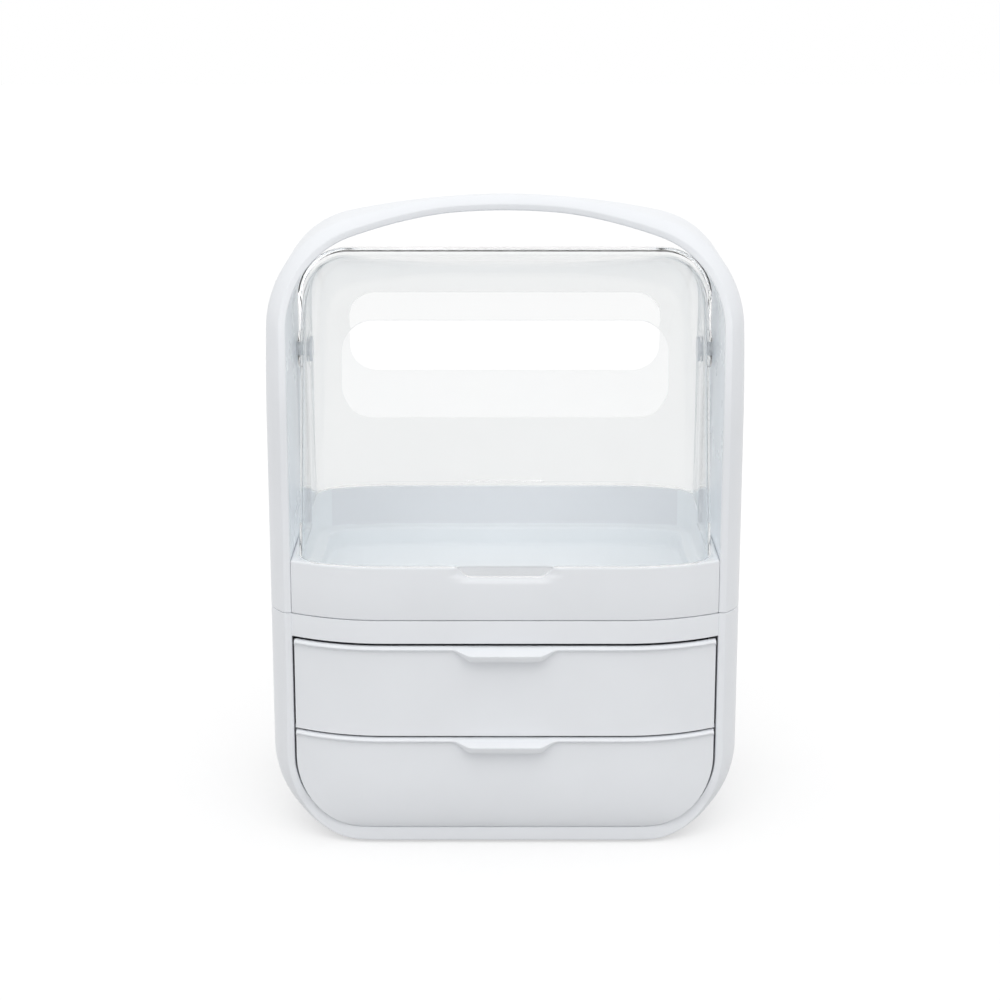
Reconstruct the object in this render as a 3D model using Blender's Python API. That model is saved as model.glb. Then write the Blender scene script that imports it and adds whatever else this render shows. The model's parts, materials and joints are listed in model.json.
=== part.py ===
"""Cosmetic organizer box: a white two-drawer base, an open tray, a carrying hoop and two clear lids.

Frame: millimetre sizes times MM, +Z up, the front faces -Y, and the origin is on the standing
surface under the middle of the box. Front pieces bow outward on one common radius.
"""
import math

import bmesh
import bpy

MM = 0.001

# Overall body
BODY_WIDTH = 270.0 * MM
LEG_DEPTH = 160.0 * MM
TOTAL_HEIGHT = 365.8 * MM
SEAM_HEIGHT = 137.0 * MM
BULGE = 15.0 * MM
BASE_BULGE = 8.0 * MM
BORDER = 13.4 * MM
BOTTOM_BORDER = 10.0 * MM
BOTTOM_RADIUS = 52.0 * MM
BAY_RADIUS = 40.0 * MM
TUCK_HEIGHT = 46.0 * MM
TUCK_INSET = 1.0 * MM
SHOULDER_RADIUS = 58.6 * MM
CROWN_RISE = 9.8 * MM
EDGE_DROP = 7.5 * MM
EDGE_RUN = 22.0 * MM
WALL = 2.2 * MM
FIT = 0.3 * MM
OVERRUN = 5.0 * MM
OVERLAP = 3.0 * MM

# Base casing
STAND_CLEAR = 1.0 * MM
RAIL_HEIGHT = 13.0 * MM
RAIL_THICKNESS = 3.0 * MM
BACK_THICKNESS = 2.5 * MM
PANEL_INSET = 0.4 * MM
POCKET_LENGTH = 124.0 * MM
POCKET_DEPTH = 72.0 * MM
LEDGE_REACH = 3.0 * MM
LEDGE_HEIGHT = 3.0 * MM
LEDGE_LENGTH = 144.0 * MM
CELL_LENGTH = 44.0 * MM
CELL_WIDTH = 58.0 * MM
CELL_RIB = 2.4 * MM
CELL_DEPTH = 6.5 * MM
PAD_RADIUS = 8.0 * MM
PAD_THICKNESS = 2.0 * MM
PAD_SINK = 1.0 * MM
PAD_END_X = 50.0 * MM
PAD_END_Y = 18.0 * MM

# Drawers
SPLIT_HEIGHT = 68.0 * MM
SHELF_THICKNESS = 2.1 * MM
DRAWER_GAP = 1.2 * MM
TOP_GAP = 2.0 * MM
FRONT_THICKNESS = 2.5 * MM
TUB_WALL = 1.8 * MM
TUB_SIDE_GAP = 1.5 * MM
TUB_BACK_GAP = 5.0 * MM
TUB_HEADROOM = 7.0 * MM
LIP_REACH = 2.5 * MM
LIP_HEIGHT = 3.0 * MM
LIP_THICKNESS = 1.8 * MM
TAB_TOP_WIDTH = 54.0 * MM
TAB_LOW_WIDTH = 39.0 * MM
TAB_REACH = 8.5 * MM
TAB_HEIGHT = 8.6 * MM
LIP_ROOT = 1.0 * MM
LIP_TIP = 1.3 * MM
LIP_CROWN_SHARE = 0.6
TAB_CROWN_SHARE = 0.3

# Tray
RIM_RISE = 31.5 * MM
TRAY_WALL = 3.0 * MM
TRAY_SIDE_GAP = 0.4 * MM
TRAY_STEP_RISE = 6.0 * MM
TRAY_LEDGE_WIDTH = 8.0 * MM
TRAY_SINK = 5.5 * MM
TRAY_FLOOR_THICKNESS = 2.2 * MM
TRAY_SEAT_GAP = 0.6 * MM
TRAY_CORNER = 11.0 * MM
TRAY_LOW_CORNER = 8.0 * MM
RECESS_TOP_WIDTH = 62.0 * MM
RECESS_LOW_WIDTH = 50.0 * MM
RECESS_HEIGHT = 10.0 * MM
RECESS_DEPTH = 1.3 * MM

# Hoop and handle
HANDLE_DEPTH = 22.2 * MM
HANDLE_THICKNESS = 8.2 * MM
HANDLE_EDGE_DROP = 4.5 * MM
HANDLE_EDGE_RUN = 8.5 * MM
HANDLE_LENGTH = 64.0 * MM
FLARE_HEIGHT = 246.0 * MM
FLARE_POWER = 1.45
LINER_THICKNESS = 2.0 * MM
LINER_END_DEGREES = 52.0
TONGUE_THICKNESS = 1.8 * MM
TONGUE_LENGTH = 100.0 * MM
TONGUE_BELOW = 12.0 * MM
TONGUE_ABOVE = 13.0 * MM
TONGUE_SINK = 0.2 * MM

# Lids and their pivot
HAND_GAP = 22.6 * MM
LID_WALL = 2.2 * MM
LID_LIFT = 0.5 * MM
REAR_CROWN = 60.0 * MM
LID_NEST_GAP = 2.0 * MM
LID_EDGE_RADIUS = 29.0 * MM
LID_CORNER_RADIUS = 14.0 * MM
LID_PART_GAP = 1.0 * MM
LID_LAP = 3.5 * MM
LINER_CLEAR = 0.7 * MM
LAYER_GAP = 1.2 * MM
EAR_RADIUS = 11.0 * MM
PIN_RADIUS = 4.0 * MM
PIN_HEAD_RADIUS = 7.5 * MM
PIN_HEAD_THICKNESS = 1.8 * MM
PIN_TAIL = 5.0 * MM
BOSS_WALL = 3.0 * MM
WASHER_THICKNESS = 0.6 * MM
WASHER_RADIUS = 8.0 * MM
FLANGE_REACH = 2.0 * MM
FLANGE_HEIGHT = 2.5 * MM
LID_TAB_DROP = 5.5 * MM
SLOT_BELOW = 26.5 * MM
SLOT_ABOVE = 26.0 * MM
SLOT_INSET = 25.5 * MM
SLOT_CORNER = 17.0 * MM
SLOT_START = 30.0 * MM

# Facets
CORNER_STEPS = 7
CROWN_STEPS = 8
LID_ARC_STEPS = 7
LID_EDGE_STEPS = 5
SLOT_STEPS = 5
EDGE_STEPS = 4
TAB_STEPS = 4
ROUND_SIDES = 32

# Values that follow from the sizes above
HALF_WIDTH = BODY_WIDTH / 2
HALF_DEPTH = LEG_DEPTH / 2
INNER_HALF = HALF_WIDTH - BORDER
REACH = HALF_DEPTH + BULGE
BOW_RADIUS = (INNER_HALF ** 2 + BULGE ** 2) / (2 * BULGE)
SHOULDER_X = HALF_WIDTH - SHOULDER_RADIUS
CROWN_DROP = CROWN_RISE + SHOULDER_RADIUS
CROWN_RADIUS = (CROWN_DROP ** 2 + SHOULDER_X ** 2 - SHOULDER_RADIUS ** 2) / (2 * CROWN_RISE)
RAIL_LOW = SEAM_HEIGHT - RAIL_HEIGHT
RIM_HEIGHT = SEAM_HEIGHT + RIM_RISE
TRAY_LEDGE_HEIGHT = SEAM_HEIGHT + TRAY_STEP_RISE
TRAY_FLOOR_HEIGHT = SEAM_HEIGHT - TRAY_SINK
PAD_X = HALF_WIDTH - PAD_END_X
PAD_Y = HALF_DEPTH - PAD_END_Y
PIVOT_HEIGHT = TOTAL_HEIGHT - HANDLE_THICKNESS - HAND_GAP - REAR_CROWN
LID_LOW = RIM_HEIGHT + LID_LIFT
SLOT_LOW = PIVOT_HEIGHT - SLOT_BELOW
SLOT_HIGH = PIVOT_HEIGHT + SLOT_ABOVE
REAR_LID_HALF = INNER_HALF - LINER_CLEAR
FRONT_LID_HALF = REAR_LID_HALF - LID_WALL - LAYER_GAP
FRONT_CROWN = REAR_CROWN - LID_WALL - LID_NEST_GAP
FRONT_EDGE_RADIUS = LID_EDGE_RADIUS - LID_WALL - LAYER_GAP
TUB_HALF = INNER_HALF - LEDGE_REACH - TUB_SIDE_GAP

WHITE = (0.86, 0.88, 0.91, 1.0)
LINER_WHITE = (0.80, 0.85, 0.91, 1.0)
CLEAR = (0.93, 0.95, 0.96, 1.0)
PAD_GREY = (0.55, 0.56, 0.58, 1.0)


def clear_scene():
    for item in list(bpy.data.objects):
        bpy.data.objects.remove(item, do_unlink=True)


def make_collection(name):
    group = bpy.data.collections.new(name)
    bpy.context.scene.collection.children.link(group)
    return group


def make_material(name, colour, roughness, metallic=0.0, transmission=0.0):
    material = bpy.data.materials.new(name)
    material.use_nodes = True
    shader = material.node_tree.nodes["Principled BSDF"]
    shader.inputs["Base Color"].default_value = colour
    shader.inputs["Roughness"].default_value = roughness
    shader.inputs["Metallic"].default_value = metallic
    shader.inputs["Transmission Weight"].default_value = transmission
    return material


def finish_mesh(name, mesh_data, group, material=None):
    """Turn a bmesh into an object with outward faces and sharp edges kept."""
    bmesh.ops.recalc_face_normals(mesh_data, faces=mesh_data.faces)
    if mesh_data.calc_volume(signed=True) < 0:
        bmesh.ops.reverse_faces(mesh_data, faces=mesh_data.faces)
    mesh = bpy.data.meshes.new(name)
    mesh_data.to_mesh(mesh)
    mesh_data.free()
    mesh.shade_smooth()
    mesh.set_sharp_from_angle(angle=math.radians(35))
    thing = bpy.data.objects.new(name, mesh)
    group.objects.link(thing)
    if material is not None:
        mesh.materials.append(material)
    return thing


def loft(name, sections, group, material=None):
    """Skin a list of closed sections of equal point count and cap both ends."""
    mesh_data = bmesh.new()
    rings = [[mesh_data.verts.new(point) for point in section] for section in sections]
    count = len(rings[0])
    for first, second in zip(rings, rings[1:]):
        for i in range(count):
            j = (i + 1) % count
            mesh_data.faces.new((first[i], first[j], second[j], second[i]))
    mesh_data.faces.new(rings[0])
    mesh_data.faces.new(rings[-1])
    return finish_mesh(name, mesh_data, group, material)


def box(name, low, high, group, material=None):
    mesh_data = bmesh.new()
    bmesh.ops.create_cube(mesh_data, size=1.0)
    for vert in mesh_data.verts:
        for axis in range(3):
            vert.co[axis] = high[axis] if vert.co[axis] > 0 else low[axis]
    return finish_mesh(name, mesh_data, group, material)


def disc(name, centre, axis, radius, length, group, material=None):
    """A cylinder from centre along +X or +Z; a negative length runs the other way."""
    mesh_data = bmesh.new()
    bmesh.ops.create_cone(mesh_data, cap_ends=True, segments=ROUND_SIDES,
                          radius1=radius, radius2=radius, depth=1.0)
    for vert in mesh_data.verts:
        across, up, along = vert.co
        along = (along + 0.5) * length
        if axis == "X":
            vert.co = (centre[0] + along, centre[1] + across, centre[2] + up)
        else:
            vert.co = (centre[0] + across, centre[1] + up, centre[2] + along)
    return finish_mesh(name, mesh_data, group, material)


def combine(target, tools, operation):
    for tool in tools:
        step = target.modifiers.new(f"{operation.lower()} {tool.name}", "BOOLEAN")
        step.operation = operation
        step.object = tool
        tool.hide_render = True
        tool.display_type = "WIRE"
    return target


def cut(target, *tools):
    return combine(target, tools, "DIFFERENCE")


def join(target, *tools):
    return combine(target, tools, "UNION")


def bow(x):
    """How far the bowed front or back face stands from the middle plane at x."""
    return math.sqrt(BOW_RADIUS ** 2 - x ** 2) - BOW_RADIUS + REACH


def border_face(x):
    """How far the base's own border stands from the middle plane at x; the sides are straight."""
    return HALF_DEPTH + BASE_BULGE * max(bow(x) - HALF_DEPTH, 0.0) / BULGE


def tucked_bow(x, z):
    """The bowed face at height z: below the tuck height it curls under to the border."""
    fall = min(max((TUCK_HEIGHT - z) / (TUCK_HEIGHT - BOTTOM_BORDER), 0.0), 1.0)
    foot = border_face(x) - TUCK_INSET
    return foot + (bow(x) - foot) * math.sqrt(1 - fall ** 2)


def spread(low, high, steps):
    return [low + (high - low) * i / steps for i in range(steps + 1)]


def bowed_outline(half_width, inset, height, back_inset=None, flat_back=None):
    """A plan outline with a bowed front, and a bowed or flat back."""
    front = [(x, -tucked_bow(x, height) + inset, height)
             for x in spread(-half_width, half_width, CROWN_STEPS * 2)]
    if flat_back is not None:
        return front + [(half_width, flat_back, height), (-half_width, flat_back, height)]
    back_inset = inset if back_inset is None else back_inset
    back = [(x, bow(x) - back_inset, height) for x in spread(half_width, -half_width, CROWN_STEPS * 2)]
    return front + back


def cornered_outline(half_width, inset, height, radius):
    """A plan outline with a bowed front and back and rounded corners."""
    front = [(x, inset + corner_rise(x, half_width, radius) - bow(x), height)
             for x in rounded_stations(half_width, radius)]
    return front + [(-x, -y, z) for x, y, z in front]


def corner_rise(x, half_width, radius):
    """Height of a rounded lower corner above the flat bottom at x."""
    into = abs(x) - (half_width - radius)
    if into <= 0:
        return 0.0
    return radius - math.sqrt(max(radius ** 2 - into ** 2, 0.0))


def rounded_stations(half_width, radius, middle_steps=CROWN_STEPS):
    """X stations, closer together over the rounded corners."""
    flat = half_width - radius
    middle = spread(-flat, flat, middle_steps)
    turn = [flat + radius * math.sin(angle)
            for angle in spread(0.0, math.pi / 2, CORNER_STEPS)][1:]
    return [-x for x in reversed(turn)] + middle + turn


def bowed_panel(name, side, half_width, low, high, radius, thickness, group, material=None, inset=0.0):
    """A bowed upright panel; side is -1 for the front and +1 for the back."""
    sections = []
    stations = rounded_stations(half_width, radius) if radius > 0 else spread(
        -half_width, half_width, CROWN_STEPS * 2)
    for x in stations:
        foot = low + corner_rise(x, half_width, radius) if radius > 0 else low
        heights = [foot, high]
        if radius > 0:
            knee = max(TUCK_HEIGHT, foot + OVERLAP)
            heights = [foot + (knee - foot) * (1 - math.cos(angle))
                       for angle in spread(0.0, math.pi / 2, CORNER_STEPS)] + [high]
        outer = [(x, side * (tucked_bow(x, z) - inset), z) for z in heights]
        inner = [(x, side * (tucked_bow(x, z) - inset - thickness), z) for z in reversed(heights)]
        sections.append(outer + inner)
    return loft(name, sections, group, material)


def tab_share(x):
    """0 along the plain lip, 1 on the tab, and a soft slant between."""
    wide = TAB_TOP_WIDTH / 2
    narrow = TAB_LOW_WIDTH / 2
    share = min(max((wide - abs(x)) / (wide - narrow), 0.0), 1.0)
    return math.sin(math.pi / 2 * share) ** 2


def lip(name, side, half_width, face, top, plain, tab, root_low, group):
    """A lip along a bowed edge that swells into a finger tab; plain and tab are (reach, low)."""
    wide = TAB_TOP_WIDTH / 2
    narrow = TAB_LOW_WIDTH / 2
    stations = spread(-half_width, -wide, CROWN_STEPS) + spread(-wide, -narrow, TAB_STEPS)[1:]
    stations += [0.0] + [-x for x in reversed(stations)]
    sections = []
    for x in stations:
        share = tab_share(x)
        reach = plain[0] + (tab[0] - plain[0]) * share
        low = plain[1] + (tab[1] - plain[1]) * share
        crown_share = LIP_CROWN_SHARE + (TAB_CROWN_SHARE - LIP_CROWN_SHARE) * share
        edge = face(x)
        profile = [(-LIP_ROOT, top), (reach * crown_share, top), (reach, low + LIP_TIP), (reach, low),
                   (reach - LIP_THICKNESS, low), (0.0, root_low), (-LIP_ROOT, root_low)]
        sections.append([(x, side * (edge + out), height) for out, height in profile])
    return loft(name, sections, group)


def base_path():
    """Outer line of the base from seam to seam: (x, z, normal angle, share of the bottom wall)."""
    centre_x = HALF_WIDTH - BOTTOM_RADIUS
    centre_z = STAND_CLEAR + BOTTOM_RADIUS
    right = [(x, STAND_CLEAR, math.pi, 1.0) for x in spread(0.0, centre_x, CROWN_STEPS // 2)]
    for share in spread(1.0, 0.0, CORNER_STEPS)[1:]:
        angle = math.pi / 2 * (1 + share)
        right.append((centre_x + BOTTOM_RADIUS * math.sin(angle),
                      centre_z + BOTTOM_RADIUS * math.cos(angle), angle, share))
    right.append((HALF_WIDTH, SEAM_HEIGHT, math.pi / 2, 0.0))
    left = [(-x, z, -angle, share) for x, z, angle, share in reversed(right[1:])]
    return left + right


def edge_curve(drop, run):
    """The crowned side near the front face as (inset, distance from the face); it ends in a crease."""
    return [(drop * (1 - share) ** 2, run * share) for share in spread(0.0, 1.0, EDGE_STEPS)]


def build_base(group, guides, white):
    bottom_wall = BOTTOM_BORDER - STAND_CLEAR
    sections = []
    for station in base_path():
        share = station[3]
        thickness = BORDER + (bottom_wall - BORDER) * share
        half = border_face(station[0])
        profile = [(-half, -OVERLAP)] + [(-half + away, thickness - inset)
                                         for inset, away in edge_curve(EDGE_DROP, EDGE_RUN)]
        profile += [(-depth, up) for depth, up in reversed(profile)]
        sections.append(place_section(station, thickness, profile))
    shell = loft("base_shell", sections, group, white)

    bay = []
    for y in (-REACH - OVERRUN, REACH + OVERRUN):
        ring = [(-INNER_HALF, y, SEAM_HEIGHT + OVERRUN)]
        for x in rounded_stations(INNER_HALF, BAY_RADIUS, middle_steps=1):
            ring.append((x, y, BOTTOM_BORDER + corner_rise(x, INNER_HALF, BAY_RADIUS)))
        ring.append((INNER_HALF, y, SEAM_HEIGHT + OVERRUN))
        bay.append(ring)
    cut(shell, loft("bay_cutter", bay, guides))

    rail = bowed_panel("rail_form", -1, INNER_HALF + OVERLAP, RAIL_LOW, SEAM_HEIGHT, 0.0,
                       RAIL_THICKNESS, guides, inset=PANEL_INSET)
    back = bowed_panel("back_form", 1, INNER_HALF + OVERLAP, BOTTOM_BORDER - OVERLAP, SEAM_HEIGHT,
                       BAY_RADIUS, BACK_THICKNESS, guides, inset=PANEL_INSET)
    join(shell, rail, back)

    shelf_low = SPLIT_HEIGHT - SHELF_THICKNESS / 2
    for side in (-1, 1):
        near, far = sorted((side * (INNER_HALF - LEDGE_REACH), side * (INNER_HALF + OVERLAP / 2)))
        ledge = box(f"ledge_form_{side}", (near, -LEDGE_LENGTH / 2, shelf_low - FIT - LEDGE_HEIGHT),
                    (far, LEDGE_LENGTH / 2, shelf_low - FIT), guides)
        join(shell, ledge)
        near, far = sorted((side * (INNER_HALF + WALL), side * (HALF_WIDTH - WALL)))
        pocket = box(f"pocket_cutter_{side}", (near, -POCKET_LENGTH / 2, SEAM_HEIGHT - POCKET_DEPTH),
                     (far, POCKET_LENGTH / 2, SEAM_HEIGHT + OVERRUN), guides)
        cut(shell, pocket)

    for column in (-1, 0, 1):
        for row in (-0.5, 0.5):
            x = column * (CELL_LENGTH + CELL_RIB)
            y = row * (CELL_WIDTH + CELL_RIB)
            cell = box(f"cell_cutter_{column}_{row}",
                       (x - CELL_LENGTH / 2, y - CELL_WIDTH / 2, -OVERRUN),
                       (x + CELL_LENGTH / 2, y + CELL_WIDTH / 2, STAND_CLEAR + CELL_DEPTH), guides)
            cut(shell, cell)

    recess = PAD_SINK + FIT
    names = {(-1, -1): "foot_pad_front_left", (1, -1): "foot_pad_front_right",
             (-1, 1): "foot_pad_rear_left", (1, 1): "foot_pad_rear_right"}
    grey = make_material("soft_pad", PAD_GREY, 0.9)
    for (i, j), name in names.items():
        x = i * PAD_X
        y = j * PAD_Y
        cut(shell, disc(f"{name}_cutter", (x, y, -OVERRUN), "Z", PAD_RADIUS + FIT,
                        OVERRUN + STAND_CLEAR + recess, guides))
        disc(name, (x, y, 0.0), "Z", PAD_RADIUS, PAD_THICKNESS, group, grey)
    return shell


def build_shelf(group, white):
    half = INNER_HALF - FIT
    front = FRONT_THICKNESS + DRAWER_GAP
    low = SPLIT_HEIGHT - SHELF_THICKNESS / 2
    sections = [bowed_outline(half, front, z, back_inset=PANEL_INSET + BACK_THICKNESS + FIT)
                for z in (low, low + SHELF_THICKNESS)]
    loft("divider_shelf", sections, group, white)


def build_drawer(name, low, high, radius, group, guides, white):
    """A tub that slides on the surface below it, and its bowed front with lip and tab."""
    half = INNER_HALF - DRAWER_GAP
    front = bowed_panel(f"{name}_front", -1, half, low, high, radius, FRONT_THICKNESS, group, white)
    edge = lip(f"{name}_lip_form", -1, half, bow, high, (LIP_REACH, high - LIP_HEIGHT),
               (TAB_REACH, high - TAB_HEIGHT), high - LIP_HEIGHT, guides)
    join(front, edge)
    return front


def build_tub(name, floor, top, radius, group, guides, white):
    face = FRONT_THICKNESS + FIT
    back = HALF_DEPTH - TUB_BACK_GAP
    outer = []
    inner = []
    heights = [floor] if radius <= 0 else [
        floor + radius * (1 - math.cos(angle)) for angle in spread(0.0, math.pi / 2, CORNER_STEPS)]
    for z in heights:
        rise = z - floor
        shrink = radius - math.sqrt(max(radius ** 2 - (radius - rise) ** 2, 0.0)) if radius > 0 else 0.0
        outer.append(bowed_outline(TUB_HALF - shrink, face, z, flat_back=back))
        inner.append(bowed_outline(TUB_HALF - shrink - TUB_WALL, face + TUB_WALL, z + TUB_WALL,
                                   flat_back=back - TUB_WALL))
    outer.append(bowed_outline(TUB_HALF, face, top, flat_back=back))
    inner.append(bowed_outline(TUB_HALF - TUB_WALL, face + TUB_WALL, top + OVERRUN,
                               flat_back=back - TUB_WALL))
    tub = loft(name, outer, group, white)
    cut(tub, loft(f"{name}_cutter", inner, guides))


def build_drawers(group, guides, white):
    half_gap = DRAWER_GAP / 2
    build_drawer("upper_drawer", SPLIT_HEIGHT + half_gap, RAIL_LOW - TOP_GAP, 0.0, group, guides, white)
    build_drawer("lower_drawer", BOTTOM_BORDER + DRAWER_GAP, SPLIT_HEIGHT - half_gap,
                 BAY_RADIUS, group, guides, white)
    shelf_top = SPLIT_HEIGHT + SHELF_THICKNESS / 2
    build_tub("upper_drawer_tub", shelf_top + FIT, RAIL_LOW - TUB_HEADROOM, 0.0, group, guides, white)
    build_tub("lower_drawer_tub", BOTTOM_BORDER + FIT, SPLIT_HEIGHT - TUB_HEADROOM, BAY_RADIUS,
              group, guides, white)


def build_tray(group, guides, white):
    half = INNER_HALF - TRAY_SIDE_GAP
    seat = SEAM_HEIGHT + FIT
    tray = loft("upper_tray", [bowed_outline(half, 0.0, z) for z in (seat, RIM_HEIGHT)], group, white)
    inset = RAIL_THICKNESS + TRAY_SEAT_GAP
    under = TRAY_FLOOR_HEIGHT - TRAY_FLOOR_THICKNESS
    sump = loft("tray_sump_form", [bowed_outline(half, inset, z) for z in (under, seat + OVERLAP)], guides)
    join(tray, sump)
    wide = half - TRAY_WALL
    narrow = wide - TRAY_LEDGE_WIDTH
    step = TRAY_WALL + TRAY_LEDGE_WIDTH
    upper = loft("tray_upper_cutter", [cornered_outline(wide, TRAY_WALL, z, TRAY_CORNER)
                                       for z in (TRAY_LEDGE_HEIGHT, RIM_HEIGHT + OVERRUN)], guides)
    lower = loft("tray_lower_cutter", [cornered_outline(narrow, step, z, TRAY_LOW_CORNER)
                                       for z in (TRAY_FLOOR_HEIGHT, TRAY_LEDGE_HEIGHT + OVERLAP)], guides)

    recess = []
    taper = (RECESS_TOP_WIDTH - RECESS_LOW_WIDTH) * OVERRUN / RECESS_HEIGHT
    for width, z in ((RECESS_LOW_WIDTH, RIM_HEIGHT - RECESS_HEIGHT),
                     (RECESS_TOP_WIDTH + taper, RIM_HEIGHT + OVERRUN)):
        inner = [(x, RECESS_DEPTH - bow(x), z) for x in spread(-width / 2, width / 2, TAB_STEPS)]
        recess.append(inner + [(x, y - OVERRUN, z) for x, y, z in reversed(inner)])
    cut(tray, upper, lower, loft("tray_recess_cutter", recess, guides))


def hoop_path():
    """Outer line of the hoop in front view: (x, z, normal angle, length from the crown)."""
    crown_z = TOTAL_HEIGHT - CROWN_RADIUS
    centre_z = TOTAL_HEIGHT - CROWN_DROP
    lean = math.asin(SHOULDER_X / (CROWN_RADIUS - SHOULDER_RADIUS))
    right = []
    for angle in spread(0.0, lean, CROWN_STEPS):
        right.append((CROWN_RADIUS * math.sin(angle), crown_z + CROWN_RADIUS * math.cos(angle), angle,
                      CROWN_RADIUS * angle))
    crown_length = CROWN_RADIUS * lean
    for angle in spread(lean, math.pi / 2, 10)[1:]:
        right.append((SHOULDER_X + SHOULDER_RADIUS * math.sin(angle),
                      centre_z + SHOULDER_RADIUS * math.cos(angle), angle,
                      crown_length + SHOULDER_RADIUS * (angle - lean)))
    side_start = right[-1][3]
    for z in spread(centre_z, SEAM_HEIGHT + FIT, 6)[1:]:
        right.append((HALF_WIDTH, z, math.pi / 2, side_start + centre_z - z))
    left = [(-x, z, -angle, along) for x, z, angle, along in reversed(right[1:])]
    return left + right, side_start + centre_z - FLARE_HEIGHT


def hoop_sizes(along, full):
    """Half depth, thickness, edge drop and edge run of the hoop at a distance from the crown."""
    start = HANDLE_LENGTH / 2
    share = min(max((along - start) / (full - start), 0.0), 1.0)
    share = math.sin(math.pi / 2 * share ** FLARE_POWER)
    mix = [(HANDLE_DEPTH / 2, HALF_DEPTH), (HANDLE_THICKNESS, BORDER),
           (HANDLE_EDGE_DROP, EDGE_DROP), (HANDLE_EDGE_RUN, EDGE_RUN)]
    return [thin + (wide - thin) * share for thin, wide in mix]


def place_section(station, thickness, profile):
    """Profile points are (depth, height above the inner face of the hoop)."""
    x, z, angle = station[:3]
    out_x = math.sin(angle)
    out_z = math.cos(angle)
    return [(x + (up - thickness) * out_x, depth, z + (up - thickness) * out_z)
            for depth, up in profile]


def channel_profile(half, thickness, drop, run):
    """The hoop's section: a channel that is open towards the inside of the box."""
    curve = edge_curve(drop, run)
    outer = [(-half, 0.0)] + [(-half + away, thickness - inset) for inset, away in curve]
    outer += [(-depth, up) for depth, up in reversed(outer)]
    thin = edge_curve(drop - WALL / 2, run - WALL)
    inner = [(-half + WALL, 0.0)] + [(-half + WALL + away, thickness - WALL - inset)
                                     for inset, away in thin]
    inner += [(-depth, up) for depth, up in reversed(inner)]
    return outer + list(reversed(inner))


def build_hoop(group, guides, white, liner_white):
    path, full = hoop_path()
    sections = []
    for station in path:
        half, thickness, drop, run = hoop_sizes(station[3], full)
        sections.append(place_section(station, thickness, channel_profile(half, thickness, drop, run)))
    loft("hoop_shell", sections, group, white)

    def strip(name, stations):
        strips = []
        for station in stations:
            half, thickness, _, _ = hoop_sizes(station[3], full)
            edge = half - WALL - FIT
            strips.append(place_section(station, thickness, [
                (-edge, 0.0), (-edge, LINER_THICKNESS), (edge, LINER_THICKNESS), (edge, 0.0)]))
        return loft(name, strips, group, liner_white)

    limit = math.radians(LINER_END_DEGREES)
    middle = [station for station in path if abs(station[2]) < limit]
    strip("handle_grip", middle)
    for side, name in ((-1, "liner_left"), (1, "liner_right")):
        stations = [station for station in path if station[2] * side > limit]
        liner = strip(name, stations)
        face = side * INNER_HALF
        outer = side * (INNER_HALF + LINER_THICKNESS)
        wall_clear = side * (INNER_HALF + WALL + FIT)
        seat = SEAM_HEIGHT + 2 * FIT
        low = SEAM_HEIGHT - TONGUE_BELOW
        high = SEAM_HEIGHT + TONGUE_ABOVE
        spans = ((outer - side * TONGUE_SINK, seat), (wall_clear, low))
        for i, (start, bottom) in enumerate(spans):
            near, far = sorted((start, wall_clear + side * TONGUE_THICKNESS))
            join(liner, box(f"{name}_tongue_form_{i}", (near, -TONGUE_LENGTH / 2, bottom),
                            (far, TONGUE_LENGTH / 2, high), guides))
        pin_end = PIN_TAIL + LINER_THICKNESS
        join(liner, disc(f"{name}_boss_form", (outer - side * TONGUE_SINK, 0.0, PIVOT_HEIGHT), "X",
                         PIN_RADIUS + FIT + BOSS_WALL, side * (PIN_TAIL + TONGUE_SINK), guides))
        cut(liner, disc(f"{name}_pin_cutter", (face - side * OVERRUN, 0.0, PIVOT_HEIGHT), "X",
                        PIN_RADIUS + FIT, side * (2 * OVERRUN + pin_end), guides))


def lid_profile(x, half, edge, corner, crown, bottom_inset, lap):
    """Section of a lid at x, seen from the side: (forward distance, height)."""
    radius = crown - corner_rise(x, half, edge)
    foot = bow(x) - bottom_inset - corner_rise(x, half, corner)
    drop = PIVOT_HEIGHT - LID_LOW
    reach = math.hypot(foot, drop)
    start = math.acos(radius / reach) - math.atan2(drop, foot)
    end = math.pi / 2 + lap / crown
    points = [(foot, LID_LOW)]
    for angle in spread(start, end, LID_ARC_STEPS):
        points.append((radius * math.cos(angle), PIVOT_HEIGHT + radius * math.sin(angle)))
    return points


def lid_stations(half, edge):
    flat = half - edge
    turn = [flat + edge * math.sin(angle) for angle in spread(0.0, math.pi / 2, LID_EDGE_STEPS)][1:]
    middle = spread(-flat, flat, CROWN_STEPS)
    return [-x for x in reversed(turn)] + middle + turn


def slot_outline(half, y):
    """Front view of the finger slot: a wide rectangle with round corners."""
    points = []
    corners = ((1, SLOT_HIGH, 0), (-1, SLOT_HIGH, 1), (-1, SLOT_LOW, 2), (1, SLOT_LOW, 3))
    for end, edge, quarter in corners:
        x = end * (half - SLOT_CORNER)
        z = edge - SLOT_CORNER if edge == SLOT_HIGH else edge + SLOT_CORNER
        for angle in spread(math.pi / 2 * quarter, math.pi / 2 * (quarter + 1), SLOT_STEPS):
            points.append((x + SLOT_CORNER * math.cos(angle), y, z + SLOT_CORNER * math.sin(angle)))
    return points


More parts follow.
